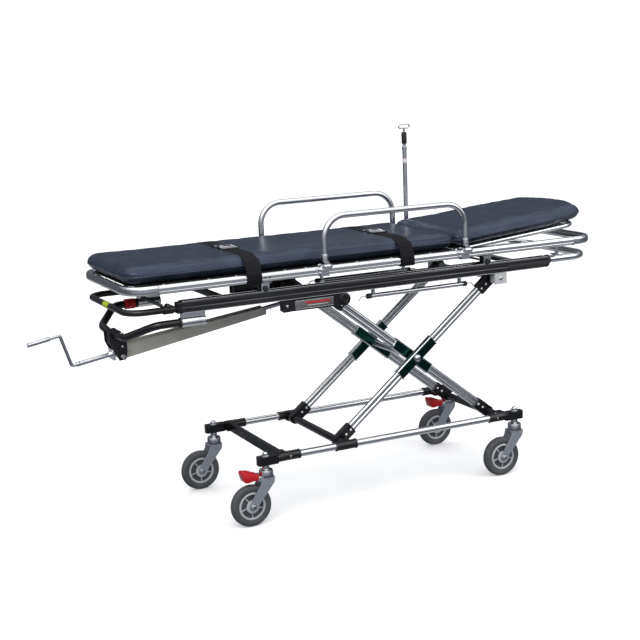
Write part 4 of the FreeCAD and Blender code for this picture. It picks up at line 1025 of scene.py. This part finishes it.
def make_crank_details():
    top = at(-1.152, 0, 0.714)
    direction = (at(-1.266, 0, 0.6945) - top).normalized()
    rings = Shape()
    for step in range(3):
        rings.ring(top + direction * (0.0365 + 0.004 * step), direction, 0.0076, 0.0086, 0.0026, 0.0006, 28)
    rings.ring(top + direction * 0.1075, direction, 0.0076, 0.0087, 0.0038, 0.0008, 28)
    rings.piece("crank_grip_rings", "crank_grip", "zinc_steel")
    collar = Shape()
    collar.lathe(((0.0060, -0.006), (0.0088, -0.0045), (0.0093, 0.0), (0.0093, 0.004), (0.0084, 0.006)),
                 on_screw(-1.096), SCREW_AXIS, 28)
    collar.lathe(((0, -0.0105), (0.0022, -0.0105), (0.0022, 0.0105), (0, 0.0105)), on_screw(-1.060), (0, 1, 0), 12)
    collar.piece("crank_collar_and_pin", "crank", "zinc_steel")


# ---- stretcher ----
def make_frame_details():
    """Ribs along the side tubes, the screws on top that hold the deck, and the joints."""
    ribs, screws = Shape(), Shape()
    for side in SIDES:
        for z in (0.8700, 0.8820):
            ribs.tube([at(-0.880, side * 0.2628, z), at(0.790, side * 0.2628, z)], 0.0016, 8)
    ribs.piece("side_tube_ribs", "stretcher", "bright_tube")
    spots = [(x, side * 0.252) for side in SIDES
             for x in (-0.86, -0.70, -0.60, -0.42, -0.34, -0.14, 0.0, 0.16, 0.44, 0.56, 0.68, 0.78)]
    spots += [(-0.979, -0.10), (-0.979, 0.10), (-0.979, 0.0), (-0.958, -0.231), (-0.958, 0.231)]
    for x, y in spots:
        round_head(screws, at(x, y, 0.8916), UP, 0.0048, 0.0026)
    screws.piece("deck_screws", "stretcher", "chrome")
    paired_boxes("deck_tabs", "stretcher", "black_plastic", None, 0.0008,
                 [((x, 0.2405, 0.8905), (0.030, 0.022, 0.0026)) for x in (-0.86, -0.60, -0.34, 0.0, 0.16)])
    paired_boxes("frame_joint_bands", "stretcher", "bright_tube", None, 0.0011,
                 [((x, 0.252, 0.876), (0.004, 0.0232, 0.0332)) for x in (-0.880, 0.790)])
    rivets = Shape()
    for x in (-0.49, 0.413):
        paired_heads(rivets, ((x - 0.009, 0.2633, 0.876, 0.0034, 0.0016), (x + 0.009, 0.2633, 0.876, 0.0034, 0.0016),
                              (x, 0.2450, 0.8347, 0.0100, 0.0030)))
    rivets.piece("roller_axle_caps", "stretcher", "black_plastic")


def make_side_rail_details():
    for name, side in (("near", NEAR), ("far", FAR)):
        out = OUT[side]
        ferrules, bolts = Shape(), Shape()
        for x in (-0.273, 0.3005):
            ferrules.lathe(((0.0106, 0), (0.0128, 0.001), (0.0128, 0.020), (0.0117, 0.026), (0.0106, 0.027)),
                           at(x, side * 0.268, 0.908), UP, 32)
            for end in (-1, 1):
                hex_head(bolts, at(x + end * 0.017, side * 0.281, 0.893), (end, 0, 0), 0.0062, 0.0040)
            round_head(bolts, at(x, side * 0.267, 0.876), out, 0.0046, 0.0024)
            bolts.tube([at(x - 0.030, side * 0.2705, 0.900), at(x - 0.018, side * 0.2705, 0.900)], 0.0034, 10)
        ferrules.piece("side_rail_ferrules_" + name, "side_rail_" + name, "chrome", "chrome_tube")
        bolts.piece("side_rail_bolts_" + name, "stretcher", "zinc_steel")


def make_pole_details():
    def band(shape, z, inner, outer, length, lip):
        return shape.ring(at(0.373, 0.284, z), UP, inner, outer, length, lip)

    grip = band(Shape(), 1.2485, 0.0096, 0.0104, 0.046, 0.0015)
    for step in range(9):
        band(grip, 1.2535 + 0.0044 * step, 0.0102, 0.0108, 0.0024, 0.0006)
    grip.piece("pole_grip_cover", "pole_extension", "black_plastic")
    collars = band(Shape(), 1.222, 0.0086, 0.0098, 0.017, 0.0015)
    band(collars, 0.905, 0.0086, 0.0100, 0.022, 0.002)
    collars.piece("pole_collars", "pole", "chrome", "chrome_tube")
    band(Shape(), 1.172, 0.0085, 0.00875, 0.020, 0.0002).piece("pole_sticker", "pole", "label_white", "grey_paint")
    for index, z in enumerate((1.1735, 1.1895)):
        line = band(Shape(), z, 0.0087, 0.0089, 0.0018, 0.0002)
        line.piece("pole_sticker_line_%d" % index, "pole", "label_red", "red_plastic")


def soften_cad_edges():
    """Small bevels on boxy metal parts, so that their edges catch the light."""
    for node in ("corner_castings", "base_crossbars", "frame_sockets", "upper_pivot_mounts", "guide_channels",
                 "rail_clamps", "roller_brackets", "platform_crossbars", "drive_shaft", "crank_frame",
                 "outer_leg_ends", "inner_leg_ends", "screw_bearing", "stretcher_cross_members"):
        weld = frame["nodes"][node].modifiers.new("join", "WELD")
        weld.merge_threshold = 0.00001
        bevel = frame["nodes"][node].modifiers.new("edge", "BEVEL")
        bevel.width = 0.0035 if node == "corner_castings" else 0.0009
        bevel.segments = 2
        bevel.limit_method = "ANGLE"
        bevel.angle_limit = math.radians(50.0)


make_camera()
make_world()
make_lights()
make_stage()
paint_cad_nodes()
soften_cad_edges()
make_straps(make_mattress())
make_casters()
make_leg_details()
make_base_details()
make_rail_trim()
make_foot_end_details()
make_lock_rod_details()
make_screw_details()
make_crank_details()
make_frame_details()
make_side_rail_details()
make_pole_details()
